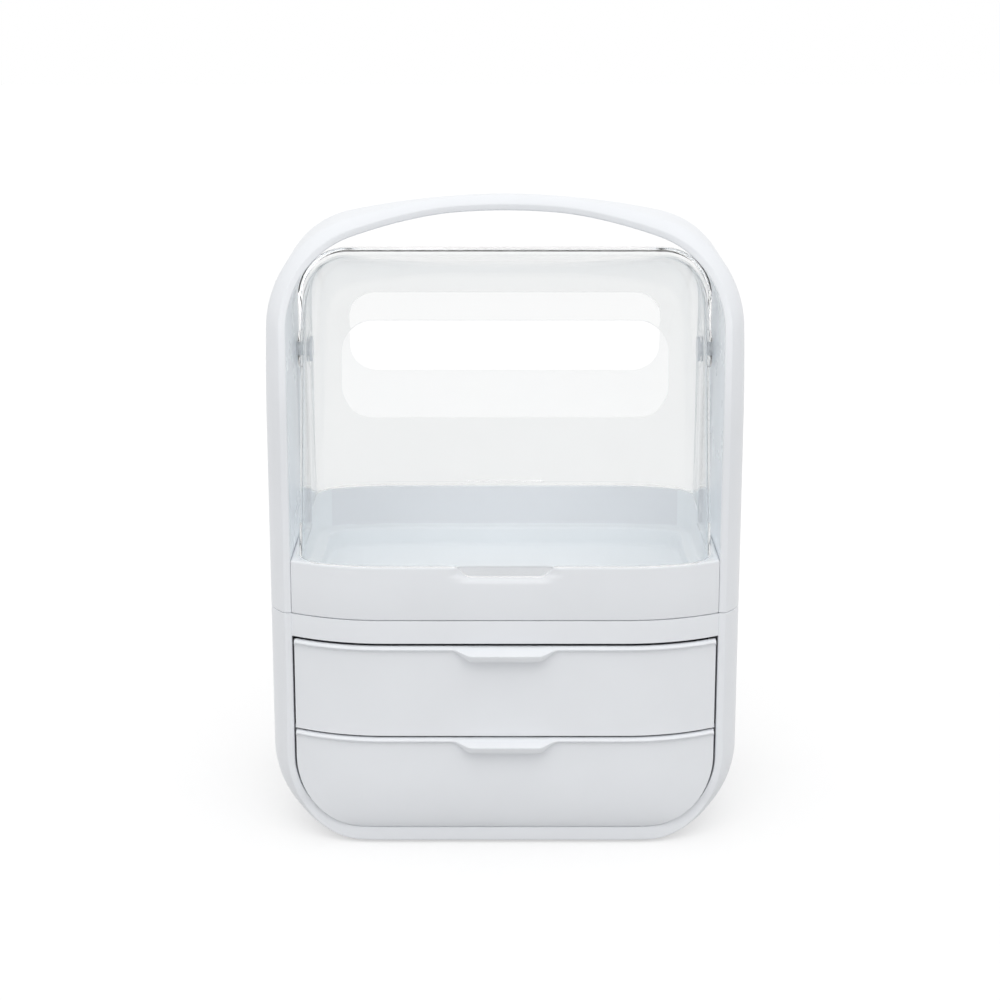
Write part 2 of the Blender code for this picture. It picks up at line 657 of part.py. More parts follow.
def build_lid(name, side, half, edge, crown, lap, group, guides, clear):
    """One clear half of the hood; side is -1 for the front lid and +1 for the rear one."""
    outer = []
    for x in lid_stations(half, edge):
        points = lid_profile(x, half, edge, LID_CORNER_RADIUS, crown, 0.0, lap)
        points += [(LID_PART_GAP, PIVOT_HEIGHT), (LID_PART_GAP, LID_LOW)]
        outer.append([(x, side * forward, height) for forward, height in points])
    lid = loft(name, outer, group, clear)

    inner = []
    inner_half = half - LID_WALL
    inner_edge = edge - LID_WALL
    inner_corner = LID_CORNER_RADIUS - LID_WALL
    for x in lid_stations(inner_half, inner_edge):
        points = lid_profile(x, inner_half, inner_edge, inner_corner, crown - LID_WALL, LID_WALL,
                             lap + OVERRUN)
        foot = points[0][0]
        points = [(foot, LID_LOW - OVERRUN)] + points
        points += [(-OVERRUN, PIVOT_HEIGHT), (-OVERRUN, LID_LOW - OVERRUN)]
        inner.append([(x, side * forward, height) for forward, height in points])

    layer = inner_half
    for end in (-1, 1):
        start = end * layer
        ear = disc(f"{name}_ear_form_{end}", (start, 0.0, PIVOT_HEIGHT), "X", EAR_RADIUS,
                   end * LID_WALL, guides)
        join(lid, ear)
    cut(lid, loft(f"{name}_cutter", inner, guides))
    for end in (-1, 1):
        hole = disc(f"{name}_hole_cutter_{end}", (end * (layer - OVERRUN), 0.0, PIVOT_HEIGHT), "X",
                    PIN_RADIUS + FIT, end * (LID_WALL + 2 * OVERRUN), guides)
        cut(lid, hole)
    cut(lid, loft(f"{name}_slot_cutter", [slot_outline(half - SLOT_INSET, side * away)
                                          for away in (SLOT_START, REACH)], guides))

    flange = lip(f"{name}_flange_form", side, half - LID_CORNER_RADIUS, bow, LID_LOW + FLANGE_HEIGHT,
                 (FLANGE_REACH, LID_LOW), (TAB_REACH, LID_LOW - LID_TAB_DROP), LID_LOW, guides)
    join(lid, flange)
    return lid


def build_pivots(group, metal, nylon):
    """A headed pin on each side holds both lids, with a washer between them."""
    head_face = FRONT_LID_HALF - LID_WALL - FIT
    tail = INNER_HALF + LINER_THICKNESS + PIN_TAIL - FIT
    washer_start = FRONT_LID_HALF + (LAYER_GAP - WASHER_THICKNESS) / 2
    for side, word in ((-1, "left"), (1, "right")):
        mesh_data = bmesh.new()
        profile = [(head_face - PIN_HEAD_THICKNESS, PIN_HEAD_RADIUS), (head_face, PIN_HEAD_RADIUS),
                   (head_face, PIN_RADIUS), (tail, PIN_RADIUS)]
        spin(mesh_data, profile, side)
        finish_mesh(f"pivot_pin_{word}", mesh_data, group, metal)
        mesh_data = bmesh.new()
        inner = PIN_RADIUS + FIT
        profile = [(washer_start, inner), (washer_start, WASHER_RADIUS),
                   (washer_start + WASHER_THICKNESS, WASHER_RADIUS),
                   (washer_start + WASHER_THICKNESS, inner)]
        spin(mesh_data, profile, side, ring=True)
        finish_mesh(f"pivot_washer_{word}", mesh_data, group, nylon)


def spin(mesh_data, profile, side, ring=False):
    """Turn (distance along X, radius) points about the pivot axis."""
    rings = []
    for i in range(ROUND_SIDES):
        angle = 2 * math.pi * i / ROUND_SIDES
        rings.append([mesh_data.verts.new((side * along, radius * math.sin(angle),
                                           PIVOT_HEIGHT + radius * math.cos(angle)))
                      for along, radius in profile])
    count = len(profile)
    for first, second in zip(rings, rings[1:] + rings[:1]):
        for j in range(count if ring else count - 1):
            k = (j + 1) % count
            mesh_data.faces.new((first[j], first[k], second[k], second[j]))
    if not ring:
        mesh_data.faces.new([points[0] for points in rings])
        mesh_data.faces.new([points[-1] for points in rings])


def main():
    clear_scene()
    group = make_collection("cosmetic_organizer_box")
    guides = make_collection("cutters")
    white = make_material("satin_white", WHITE, 0.35)
    liner_white = make_material("liner_white", LINER_WHITE, 0.3)
    clear = make_material("clear_plastic", CLEAR, 0.05, transmission=0.95)
    metal = make_material("pin_white", WHITE, 0.3)
    nylon = make_material("washer_nylon", WHITE, 0.5)
    build_base(group, guides, white)
    build_shelf(group, white)
    build_drawers(group, guides, white)
    build_tray(group, guides, white)
    build_hoop(group, guides, white, liner_white)
    build_lid("front_lid", -1, FRONT_LID_HALF, FRONT_EDGE_RADIUS, FRONT_CROWN, 0.0, group, guides, clear)
    build_lid("rear_lid", 1, REAR_LID_HALF, LID_EDGE_RADIUS, REAR_CROWN, LID_LAP, group, guides, clear)
    build_pivots(group, metal, nylon)


main()
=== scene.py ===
"""Cosmetic organizer box, dressed: fine surfaces, materials, floor, light and camera.

Lengths are millimetres times MM. +Z is up, the front faces -Y, and the origin is on the floor
under the middle of the box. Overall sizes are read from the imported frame.
"""
import json
import math

import bmesh
import bpy
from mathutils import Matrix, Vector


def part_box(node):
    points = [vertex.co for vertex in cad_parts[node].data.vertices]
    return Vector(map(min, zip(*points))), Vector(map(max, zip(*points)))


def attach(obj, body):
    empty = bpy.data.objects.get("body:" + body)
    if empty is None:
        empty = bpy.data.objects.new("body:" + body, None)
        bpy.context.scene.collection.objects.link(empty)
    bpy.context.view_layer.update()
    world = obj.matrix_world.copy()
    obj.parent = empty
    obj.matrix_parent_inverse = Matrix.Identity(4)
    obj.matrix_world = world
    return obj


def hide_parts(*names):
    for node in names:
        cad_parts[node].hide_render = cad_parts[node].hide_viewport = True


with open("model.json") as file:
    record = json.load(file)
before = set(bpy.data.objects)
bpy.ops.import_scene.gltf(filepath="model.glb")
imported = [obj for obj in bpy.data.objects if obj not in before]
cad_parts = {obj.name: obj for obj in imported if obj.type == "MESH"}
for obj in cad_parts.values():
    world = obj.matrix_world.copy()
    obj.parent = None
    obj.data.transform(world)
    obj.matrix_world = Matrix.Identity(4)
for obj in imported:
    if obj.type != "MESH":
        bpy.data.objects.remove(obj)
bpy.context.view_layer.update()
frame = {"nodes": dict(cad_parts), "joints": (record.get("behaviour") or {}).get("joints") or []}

MM = 0.001

hoop_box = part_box("hoop_shell")
base_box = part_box("base_shell")
tray_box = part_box("upper_tray")
pivot = next(joint for joint in frame["joints"] if joint["name"] == "front_lid_hinge")["pos_m"]

# Overall sizes
HALF_WIDTH = hoop_box[1][0]
HALF_DEPTH = hoop_box[1][1]
TOTAL_HEIGHT = hoop_box[1][2]
SEAM_HEIGHT = base_box[1][2]
HOOP_LOW = hoop_box[0][2]
TRAY_SIDE_GAP = 0.4 * MM
INNER_HALF = tray_box[1][0] + TRAY_SIDE_GAP
REACH = tray_box[1][1]
PIVOT_HEIGHT = pivot[2]
BULGE = REACH - HALF_DEPTH
BASE_BULGE = 8.0 * MM
BORDER = HALF_WIDTH - INNER_HALF
BOW_FLAT_HALF = 68.0 * MM
BOW_RADIUS = ((INNER_HALF - BOW_FLAT_HALF) ** 2 + BULGE ** 2) / (2 * BULGE)
FIT = 0.3 * MM
SOFT_EDGE = 0.5 * MM

# Base casing
STAND_CLEAR = base_box[0][2]
BOTTOM_BORDER = 10.0 * MM
BOTTOM_RADIUS = 52.0 * MM
BAY_RADIUS = 40.0 * MM
TUCK_HEIGHT = 46.0 * MM
TUCK_INSET = 1.0 * MM
EDGE_DROP = 9.3 * MM
EDGE_RUN = 22.0 * MM
FOOT_DROP = 1.0 * MM
FOOT_RUN = 8.0 * MM
CREASE_ROUND = 0.7 * MM
INNER_ROUND = 1.0 * MM
SEAM_ROUND = 0.45 * MM
PANEL_INSET = 0.4 * MM
PANEL_OVERLAP = 3.0 * MM
RAIL_GAP = 1.5 * MM
RAIL_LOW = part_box("upper_drawer_front")[1][2] + RAIL_GAP
RAIL_THICKNESS = 3.0 * MM
BACK_THICKNESS = 2.5 * MM
LEDGE_REACH = 3.0 * MM
LEDGE_HEIGHT = 3.0 * MM
LEDGE_LENGTH = 144.0 * MM
CELL_LENGTH = 44.0 * MM
CELL_WIDTH = 58.0 * MM
CELL_RIB = 2.4 * MM
CELL_DEPTH = 6.5 * MM
CELL_COLUMNS = (-1, 0, 1)
CELL_ROWS = (-0.5, 0.5)
PAD_SINK = 1.3 * MM
CUT_OVERRUN = 5.0 * MM

# Drawers
FRONT_THICKNESS = 2.5 * MM
LIP_REACH = 2.5 * MM
LIP_HEIGHT = 2.9 * MM
LIP_TIP_DROP = 1.1 * MM
LIP_NOSE = 0.9 * MM
LIP_NOSE_LEAN = 0.5 * MM
LIP_EDGE_ROUND = 0.6 * MM
LIP_CROWN_ROUND = 1.5 * MM
LIP_ROOT_ROUND = 1.0 * MM
LIP_CROWN_SHARE = 0.3
LIP_END = 1.6 * MM
LIP_END_SHARE = 0.5
TAB_TOP_WIDTH = 61.0 * MM
TAB_LOW_WIDTH = 37.0 * MM
TAB_REACH = 8.5 * MM
TAB_HEIGHT = 8.6 * MM
TAB_TIP_DROP = 3.2 * MM
TAB_NOSE = 3.8 * MM
TAB_NOSE_LEAN = 1.8 * MM
TUB_WALL = 1.8 * MM
TUB_CORNER = 7.0 * MM
TUB_FILLET = 4.0 * MM

# Tray
RIM_HEIGHT = tray_box[1][2]
TRAY_UNDER = tray_box[0][2]
TRAY_SIDE_CLEAR = 0.12 * MM
TRAY_HALF = INNER_HALF - TRAY_SIDE_CLEAR
TRAY_SEAT_GAP = 0.55 * MM
TRAY_SEAT = SEAM_HEIGHT + TRAY_SEAT_GAP
TRAY_BEHIND_RAIL = 3.6 * MM
TRAY_WALL = 3.0 * MM
TRAY_LEDGE_RISE = 6.0 * MM
TRAY_LEDGE_HEIGHT = SEAM_HEIGHT + TRAY_LEDGE_RISE
TRAY_LEDGE_WIDTH = 8.0 * MM
TRAY_FLOOR_DROP = 5.5 * MM
TRAY_FLOOR_HEIGHT = SEAM_HEIGHT - TRAY_FLOOR_DROP
TRAY_OUTER_CORNER = 0.4 * MM
TRAY_CORNER = 11.0 * MM
TRAY_LOW_CORNER = 8.0 * MM
TRAY_FILLET = 2.4 * MM
RIM_ROUND = 1.1 * MM
RECESS_TOP_WIDTH = 62.0 * MM
RECESS_LOW_WIDTH = 50.0 * MM
RECESS_HEIGHT = 10.0 * MM
RECESS_DEPTH = 2.2 * MM
RECESS_EDGE = 1.8 * MM
RECESS_SLOPE = 5.0 * MM

# Hoop and handle
SHOULDER_RADIUS = 58.6 * MM
CROWN_RISE = 9.8 * MM
SHOULDER_X = HALF_WIDTH - SHOULDER_RADIUS
CROWN_DROP = CROWN_RISE + SHOULDER_RADIUS
CROWN_RADIUS = (CROWN_DROP ** 2 + SHOULDER_X ** 2 - SHOULDER_RADIUS ** 2) / (2 * CROWN_RISE)
HOOP_WALL = 2.2 * MM
HANDLE_DEPTH = 22.2 * MM
HANDLE_THICKNESS = 8.2 * MM
HANDLE_EDGE_DROP = 4.5 * MM
HANDLE_EDGE_RUN = 8.5 * MM
HANDLE_LENGTH = 64.0 * MM
FLARE_HEIGHT = 246.0 * MM
FLARE_POWER = 1.45
LINER_THICKNESS = 2.0 * MM
LINER_END_DEGREES = 52.0
LINER_ROUND = 0.5 * MM

# Lids
LID_WALL = 2.2 * MM
LID_FOOT_GAP = 0.5 * MM
LID_LOW = RIM_HEIGHT + LID_FOOT_GAP
LID_CORNER_RADIUS = 14.0 * MM
LID_PART_GAP = 1.0 * MM
LID_LAP = 3.5 * MM
LID_ROUND = 0.5 * MM
REAR_CROWN = 60.0 * MM
REAR_EDGE = 29.0 * MM
CROWN_GAP = 2.0 * MM
EDGE_GAP = 1.2 * MM
FRONT_CROWN = REAR_CROWN - LID_WALL - CROWN_GAP
FRONT_EDGE = REAR_EDGE - LID_WALL - EDGE_GAP
SIDE_CORE_SHARE = 0.1
EAR_RADIUS = 11.0 * MM
EAR_STEP = 0.1 * MM
EAR_BOSS = 0.4 * MM
PIN_RADIUS = 4.0 * MM
FLANGE_REACH = 2.0 * MM
HEM_HEIGHT = 3.0 * MM
HEM_LIP = 1.1 * MM
HEM_END = 5.0 * MM
HEM_CORNER_SHARE = 0.35
HEM_UNDER_SHARE = 0.7
HEM_NECK_SHARES = (0.25, 0.7)
HEM_UNDER_ROUND = 0.3 * MM
HEM_TIP_ROUND = 0.4 * MM
HEM_LIP_ROUND = 0.9 * MM
HEM_NECK_ROUND = 1.0 * MM
LID_TAB_TOP_WIDTH = 56.0 * MM
LID_TAB_LOW_WIDTH = 40.0 * MM
LID_TAB_DROP = 3.4 * MM
SLOT_DROP = 26.5 * MM
SLOT_RISE = 26.0 * MM
SLOT_LOW = PIVOT_HEIGHT - SLOT_DROP
SLOT_HIGH = PIVOT_HEIGHT + SLOT_RISE
SLOT_INSET = 25.5 * MM
SLOT_CORNER = 17.0 * MM
SLOT_BLEND = 20.0 * MM
SLOT_MARGIN = 0.8 * MM

# Steps along curves
ROUND_STEPS = 4
BOW_STEPS = 36
TURN_STEPS = 14
EDGE_STEPS = 10
LEG_STEPS = 12
PATH_STEPS = 40
SLANT_STEPS = 12
SEAM_STEPS = 3
RIM_STEPS = 4
FILLET_STEPS = 5
RECESS_STEPS = 14
HEM_CORNERS = 4
HEM_ROWS = 2 + HEM_CORNERS * (ROUND_STEPS + 1)
SKIRT_ROWS = 24
SLOT_ROWS = 14
CROWN_ROWS = 30
TAB_COLUMNS = 6
SLANT_COLUMNS = 10
MIDDLE_COLUMNS = 16
CORNER_COLUMNS = 12
SIDE_STEPS = 8
EAR_SIDES = 96
DRUM_SIDES = 64
BEVEL_STEPS = 3

# Limits of the mesh code
MERGE_DISTANCE = 0.001 * MM
LEAST_STEP = 0.05 * MM
PLACE_TOLERANCE = 0.01 * MM
ANGLE_TOLERANCE = 0.0001
EASE_SHARE_LIMIT = 0.45
SHARP_DEGREES = 35.0
LID_SHARP_DEGREES = 40.0


def spread(low, high, steps):
    """Evenly spaced values from low to high, both included."""
    return [low + (high - low) * i / steps for i in range(steps + 1)]


def quarter(steps):
    """Angles of a quarter turn, from 0 up."""
    return spread(0.0, math.pi / 2, steps)


def mix(low, high, share):
    return low + (high - low) * share


def eased(low, high, steps):
    """Values from low to high that start close together."""
    return [low + (high - low) * (1 - math.cos(angle)) for angle in quarter(steps)]


def clamp(value, low=0.0, high=1.0):
    return min(max(value, low), high)


def smooth(share):
    """0 to 1 with a soft start and end."""
    share = clamp(share)
    return share * share * (3 - 2 * share)


def bow(x):
    """How far the front or back face stands from the middle plane at x: flat, then round at its ends."""
    past = max(abs(x) - BOW_FLAT_HALF, 0.0)
    return math.sqrt(BOW_RADIUS ** 2 - past ** 2) - BOW_RADIUS + REACH


def border_face(x):
    """How far the base's border stands from the middle plane at x."""
    return HALF_DEPTH + BASE_BULGE * max(bow(x) - HALF_DEPTH, 0.0) / BULGE


def tucked_bow(x, z):
    """The bowed face at height z, which curls under to the border below the tuck height."""
    fall = clamp((TUCK_HEIGHT - z) / (TUCK_HEIGHT - BOTTOM_BORDER))
    foot = border_face(x) - TUCK_INSET
    return foot + (bow(x) - foot) * math.sqrt(1 - fall ** 2)


def corner_rise(x, half, radius):
    """How much a rounded corner takes off at x, counted from the straight edge."""
    into = min(abs(x) - (half - radius), radius)
    if into <= 0:
        return 0.0
    return radius - math.sqrt(radius ** 2 - into ** 2)


def stations(half, radius, middle=BOW_STEPS):
    """X places from end to end, close together over the rounded ends."""
    flat = half - radius
    turn = [flat + radius * math.sin(angle) for angle in quarter(TURN_STEPS)][1:]
    return [-x for x in reversed(turn)] + spread(-flat, flat, middle) + turn


def curve_point(start, corner, end, t):
    """The point at t on the curve from start to end that bends towards corner."""
    return tuple((1 - t) ** 2 * first + 2 * t * (1 - t) * pull + t ** 2 * last
                 for first, pull, last in zip(start, corner, end))


def rounded(corners):
    """A closed outline whose corners (a, b, ease) are eased over the length ease on both sides."""
    points = []
    for i, (a, b, ease) in enumerate(corners):
        if ease <= 0:
            points.append((a, b))
            continue
        ends = []
        for other in (corners[i - 1], corners[(i + 1) % len(corners)]):
            run = math.hypot(other[0] - a, other[1] - b)
            share = min(ease / run, EASE_SHARE_LIMIT) if run > 0 else 0.0
            ends.append((mix(a, other[0], share), mix(b, other[1], share)))
        points += [curve_point(ends[0], (a, b), ends[1], t) for t in spread(0.0, 1.0, ROUND_STEPS)]
    return points


def closed_mesh(name, mesh_data):
    """A mesh from closed mesh data, with its faces turned outwards."""
    bmesh.ops.recalc_face_normals(mesh_data, faces=mesh_data.faces)
    if mesh_data.calc_volume(signed=True) < 0:
        bmesh.ops.reverse_faces(mesh_data, faces=mesh_data.faces)
    mesh = bpy.data.meshes.new(name)
    mesh_data.to_mesh(mesh)
    mesh_data.free()
    return mesh


def merge_points(mesh_data):
    bmesh.ops.remove_doubles(mesh_data, verts=mesh_data.verts, dist=MERGE_DISTANCE)


def add_object(name, data):
    item = bpy.data.objects.new(name, data)
    bpy.context.scene.collection.objects.link(item)
    return item


def shade(mesh, sharp_degrees):
    """Smooth shading with edges sharper than an angle kept sharp."""
    mesh.shade_smooth()
    mesh.set_sharp_from_angle(angle=math.radians(sharp_degrees))


def finish_piece(name, mesh_data, body, nodes, material):
    """Closed mesh data to a piece that rides on a body and stands for some nodes."""
    merge_points(mesh_data)
    mesh = closed_mesh(name, mesh_data)
    shade(mesh, SHARP_DEGREES)
    piece = add_object(name, mesh)
    mesh.materials.append(material)
    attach(piece, body)
    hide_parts(*nodes)
    return piece


def skin(mesh_data, rings, caps=True, soft_ends=False):
    """Quads between closed rings of equal point count, with flat ends that a bevel can soften."""
    layers = [[mesh_data.verts.new(point) for point in ring] for ring in rings]
    count = len(layers[0])
    for first, second in zip(layers, layers[1:]):
        for i in range(count):
            j = (i + 1) % count
            mesh_data.faces.new((first[i], first[j], second[j], second[i]))
    if not caps:
        return
    if soft_ends:
        weights = mesh_data.edges.layers.float.new("bevel_weight_edge")
    for layer in (layers[0], layers[-1]):
        cap = mesh_data.faces.new(layer)
        if soft_ends:
            for edge in cap.edges:
                edge[weights] = 1.0


def soften_ends(piece, width):
    """Rounds the edges that carry a bevel weight."""
    bevel = piece.modifiers.new("soft ends", "BEVEL")
    bevel.limit_method = "WEIGHT"
    bevel.width = width
    bevel.segments = BEVEL_STEPS
    bevel.use_clamp_overlap = True


def bake(piece):
    """Apply the modifiers to the mesh."""
    graph = bpy.context.evaluated_depsgraph_get()
    mesh = bpy.data.meshes.new_from_object(piece.evaluated_get(graph))
    piece.modifiers.clear()
    piece.data = mesh


def solid(mesh_data):
    """A plain object from closed mesh data, for a Boolean step."""
    return add_object("tool", closed_mesh("tool", mesh_data))


def carve(piece, tools, operation="DIFFERENCE"):
    """Cut the tools from a piece, or join them to it, and remove them."""
    for tool in tools:
        step = piece.modifiers.new(operation.lower(), "BOOLEAN")
        step.operation = operation
        step.object = tool
    bpy.context.view_layer.update()
    bake(piece)
    for tool in tools:
        bpy.data.objects.remove(tool, do_unlink=True)


def block(low, high):
    """A box between two corners."""
    mesh_data = bmesh.new()
    bmesh.ops.create_cube(mesh_data, size=1.0)
    for vert in mesh_data.verts:
        for axis in range(3):
            vert.co[axis] = high[axis] if vert.co[axis] > 0 else low[axis]
    return solid(mesh_data)


def drum(centre, radius, length):
    """An upright cylinder that stands on centre."""
    mesh_data = bmesh.new()
    bmesh.ops.create_cone(mesh_data, cap_ends=True, segments=DRUM_SIDES, radius1=radius,
                          radius2=radius, depth=1.0)
    for vert in mesh_data.verts:
        x, y, z = vert.co
        vert.co = (centre[0] + x, centre[1] + y, centre[2] + (z + 0.5) * length)
    return solid(mesh_data)


# Materials

DRIFT_SCALE = 22.0
DRIFT_EDGES = (0.35, 0.65)
SMEAR_SCALE = 9.0
SMEAR_EDGES = (0.3, 0.7)
GRAIN_SCALE = 1400.0
GRAIN_HEIGHT = 0.1 * MM
THROUGH_TINT = (0.995, 0.995, 0.995, 1.0)
WHITE = (1.0, 1.0, 1.0, 1.0)


def set_inputs(item, values):
    """Sets a shader node's inputs by their names, with _ for a space."""
    for name, value in values.items():
        item.inputs[name.replace("_", " ")].default_value = value


def node(tree, kind, **values):
    made = tree.nodes.new(kind)
    set_inputs(made, values)
    return made


def plastic(name, colour, rough, grain=0.04, grain_scale=GRAIN_SCALE, drift=0.008, **constants):
    """Moulded plastic: slow colour drift, uneven gloss and a fine moulded grain."""
    material = bpy.data.materials.new(name)
    material.use_nodes = True
    tree = material.node_tree
    shader = tree.nodes["Principled BSDF"]
    set_inputs(shader, constants)
    place = tree.nodes.new("ShaderNodeTexCoord")
    slow = node(tree, "ShaderNodeTexNoise", Scale=DRIFT_SCALE, Detail=3.0, Roughness=0.55)
    fine = node(tree, "ShaderNodeTexNoise", Scale=grain_scale, Detail=2.0, Roughness=0.6)
    smear = node(tree, "ShaderNodeTexNoise", Scale=SMEAR_SCALE, Detail=5.0, Roughness=0.6)
    for texture in (slow, fine, smear):
        tree.links.new(place.outputs["Object"], texture.inputs["Vector"])

    tint = tree.nodes.new("ShaderNodeValToRGB")
    shades = [[min(value * (1 + change), 1.0) for value in colour] for change in (-drift, drift)]
    for element, shade_colour, position in zip(tint.color_ramp.elements, shades, DRIFT_EDGES):
        element.color = (*shade_colour, 1.0)
        element.position = position
    tree.links.new(slow.outputs["Fac"], tint.inputs["Fac"])
    tree.links.new(tint.outputs["Color"], shader.inputs["Base Color"])

    gloss = node(tree, "ShaderNodeMapRange", From_Min=SMEAR_EDGES[0], From_Max=SMEAR_EDGES[1],
                 To_Min=rough[0], To_Max=rough[1])
    tree.links.new(smear.outputs["Fac"], gloss.inputs["Value"])
    tree.links.new(gloss.outputs["Result"], shader.inputs["Roughness"])

    bump = node(tree, "ShaderNodeBump", Strength=grain, Distance=GRAIN_HEIGHT)
    tree.links.new(fine.outputs["Fac"], bump.inputs["Height"])
    tree.links.new(bump.outputs["Normal"], shader.inputs["Normal"])
    return material


def let_light_through(material):
    """Lets lamp light and scattered light pass clear plastic straight on, as thin walls do."""
    tree = material.node_tree
    path = tree.nodes.new("ShaderNodeLightPath")
    opening = node(tree, "ShaderNodeBsdfTransparent", Color=THROUGH_TINT)
    surface = tree.nodes["Principled BSDF"].outputs["BSDF"]
    for kind in ("Is Shadow Ray", "Is Diffuse Ray"):
        choice = tree.nodes.new("ShaderNodeMixShader")
        tree.links.new(path.outputs[kind], choice.inputs[0])
        tree.links.new(surface, choice.inputs[1])
        tree.links.new(opening.outputs["BSDF"], choice.inputs[2])
        surface = choice.outputs["Shader"]
    tree.links.new(surface, tree.nodes["Material Output"].inputs["Surface"])


satin_white = plastic("satin_white", (0.86, 0.88, 0.91), (0.30, 0.40), Specular_IOR_Level=0.45)
# Tray's inner faces: the same white plastic made lighter to stand in for light inside the hood, painted
# light.
inner_white = plastic("inner_white", (0.92, 0.955, 0.98), (0.34, 0.42))
# Liners and handle grip: a white made lighter than the satin white to stand in for light reaching inside
# the hood, painted light.
liner_white = plastic("liner_white", (0.88, 0.93, 0.97), (0.22, 0.32))
tub_white = plastic("tub_white", (0.84, 0.86, 0.89), (0.36, 0.46), grain=0.06)
pin_white = plastic("pin_white", (0.86, 0.88, 0.91), (0.25, 0.32), grain=0.02)
washer_nylon = plastic("washer_nylon", (0.84, 0.85, 0.86), (0.45, 0.55), grain=0.08,
                       Subsurface_Weight=0.05)
soft_pad = plastic("soft_pad", (0.52, 0.53, 0.55), (0.75, 0.9), grain=0.3, grain_scale=900.0,
                   drift=0.06)
clear_plastic = plastic("clear_plastic", (0.915, 0.92, 0.92), (0.015, 0.04), grain=0.01,
                        grain_scale=60.0, drift=0.004, Transmission_Weight=1.0, IOR=1.045,
                        Coat_Weight=1.0, Coat_IOR=1.49, Coat_Roughness=0.02)
let_light_through(clear_plastic)


# Base casing

def base_stations():
    """Outer and inner points of the base's border and how far it has turned, from seam to seam."""
    outer_x = HALF_WIDTH - BOTTOM_RADIUS
    outer_z = STAND_CLEAR + BOTTOM_RADIUS
    inner_x = INNER_HALF - BAY_RADIUS
    inner_z = BOTTOM_BORDER + BAY_RADIUS
    right = [((outer_x * t, STAND_CLEAR), (inner_x * t, BOTTOM_BORDER), 0.0)
             for t in spread(0.0, 1.0, BOW_STEPS // 2)]
    for angle in quarter(2 * TURN_STEPS)[1:]:
        across = math.sin(angle)
        down = math.cos(angle)
        outer = (outer_x + BOTTOM_RADIUS * across, outer_z - BOTTOM_RADIUS * down)
        inner = (inner_x + BAY_RADIUS * across, inner_z - BAY_RADIUS * down)
        right.append((outer, inner, angle / (math.pi / 2)))
    for t in spread(0.0, 1.0, LEG_STEPS)[1:]:
        outer = (HALF_WIDTH, mix(outer_z, SEAM_HEIGHT, t))
        inner = (INNER_HALF, mix(inner_z, SEAM_HEIGHT, t))
        right.append((outer, inner, 1.0))
    left = [((-outer[0], outer[1]), (-inner[0], inner[1]), turned)
            for outer, inner, turned in reversed(right[1:])]
    return left + right


def crowned_profile(half, thickness, drop, run):
    """Front half of a border section as (depth, height over the inner face, corner ease)."""
    points = [(-half, 0.0, INNER_ROUND), (-half, thickness - drop, CREASE_ROUND)]
    for share in spread(0.0, 1.0, EDGE_STEPS)[1:]:
        points.append((-half + run * share, thickness - drop * (1 - share) ** 2, 0.0))
    return points


def both_halves(points):
    """A front half and its mirror image at the back."""
    return points + [(-depth, up, ease) for depth, up, ease in reversed(points)]


def build_base():
    mesh_data = bmesh.new()
    rings = []
    for outer, inner, turned in base_stations():
        thickness = math.dist(outer, inner)
        drop = mix(FOOT_DROP, EDGE_DROP, smooth(turned))
        run = mix(FOOT_RUN, EDGE_RUN, smooth(turned))
        profile = crowned_profile(border_face(outer[0]), thickness, drop, run)
        ring = []
        for depth, up in rounded(both_halves(profile)):
            share = up / thickness
            ring.append((mix(inner[0], outer[0], share), depth, mix(inner[1], outer[1], share)))
        rings.append(ring)
    skin(mesh_data, rings, soft_ends=True)
    casing = finish_piece("base_casing", mesh_data, "case", ("base_shell",), satin_white)
    soften_ends(casing, SEAM_ROUND)
    carve(casing, cell_tools() + pad_tools())

    side_half = INNER_HALF + PANEL_OVERLAP
    build_panel("front_rail", -1, side_half, RAIL_LOW, SEAM_HEIGHT, 0.0, RAIL_THICKNESS)
    build_panel("back_wall", 1, side_half, BOTTOM_BORDER - PANEL_OVERLAP, SEAM_HEIGHT,
                BAY_RADIUS, BACK_THICKNESS)
    build_ledges()


def cell_tools():
    """Cutters for the open cells under the base."""
    tools = []
    for column in CELL_COLUMNS:
        for row in CELL_ROWS:
            x = column * (CELL_LENGTH + CELL_RIB)
            y = row * (CELL_WIDTH + CELL_RIB)
            low = (x - CELL_LENGTH / 2, y - CELL_WIDTH / 2, -CUT_OVERRUN)
            high = (x + CELL_LENGTH / 2, y + CELL_WIDTH / 2, STAND_CLEAR + CELL_DEPTH)
            tools.append(block(low, high))
    return tools


def pad_tools():
    """Cutters for the seats of the foot pads."""
    tools = []
    for pad in ("front_left", "front_right", "rear_left", "rear_right"):
        low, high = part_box(f"foot_pad_{pad}")
        centre = ((low[0] + high[0]) / 2, (low[1] + high[1]) / 2, -CUT_OVERRUN)
        tools.append(drum(centre, (high[0] - low[0]) / 2 + FIT, CUT_OVERRUN + STAND_CLEAR + PAD_SINK))
    return tools


def build_ledges():
    """The two ledges that carry the divider shelf, in one piece."""
    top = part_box("divider_shelf")[0][2] - FIT
    mesh_data = bmesh.new()
    for side in (-1, 1):
        near = side * (INNER_HALF - LEDGE_REACH)
        far = side * (INNER_HALF + PANEL_OVERLAP / 2)
        corners = [(near, top - LEDGE_HEIGHT, SOFT_EDGE), (near, top, SOFT_EDGE),
                   (far, top, 0.0), (far, top - LEDGE_HEIGHT, 0.0)]
        skin(mesh_data, [[(x, y, z) for x, z in rounded(corners)]
                         for y in (-LEDGE_LENGTH / 2, LEDGE_LENGTH / 2)])
    finish_piece("shelf_ledges", mesh_data, "case", ("base_shell",), satin_white)


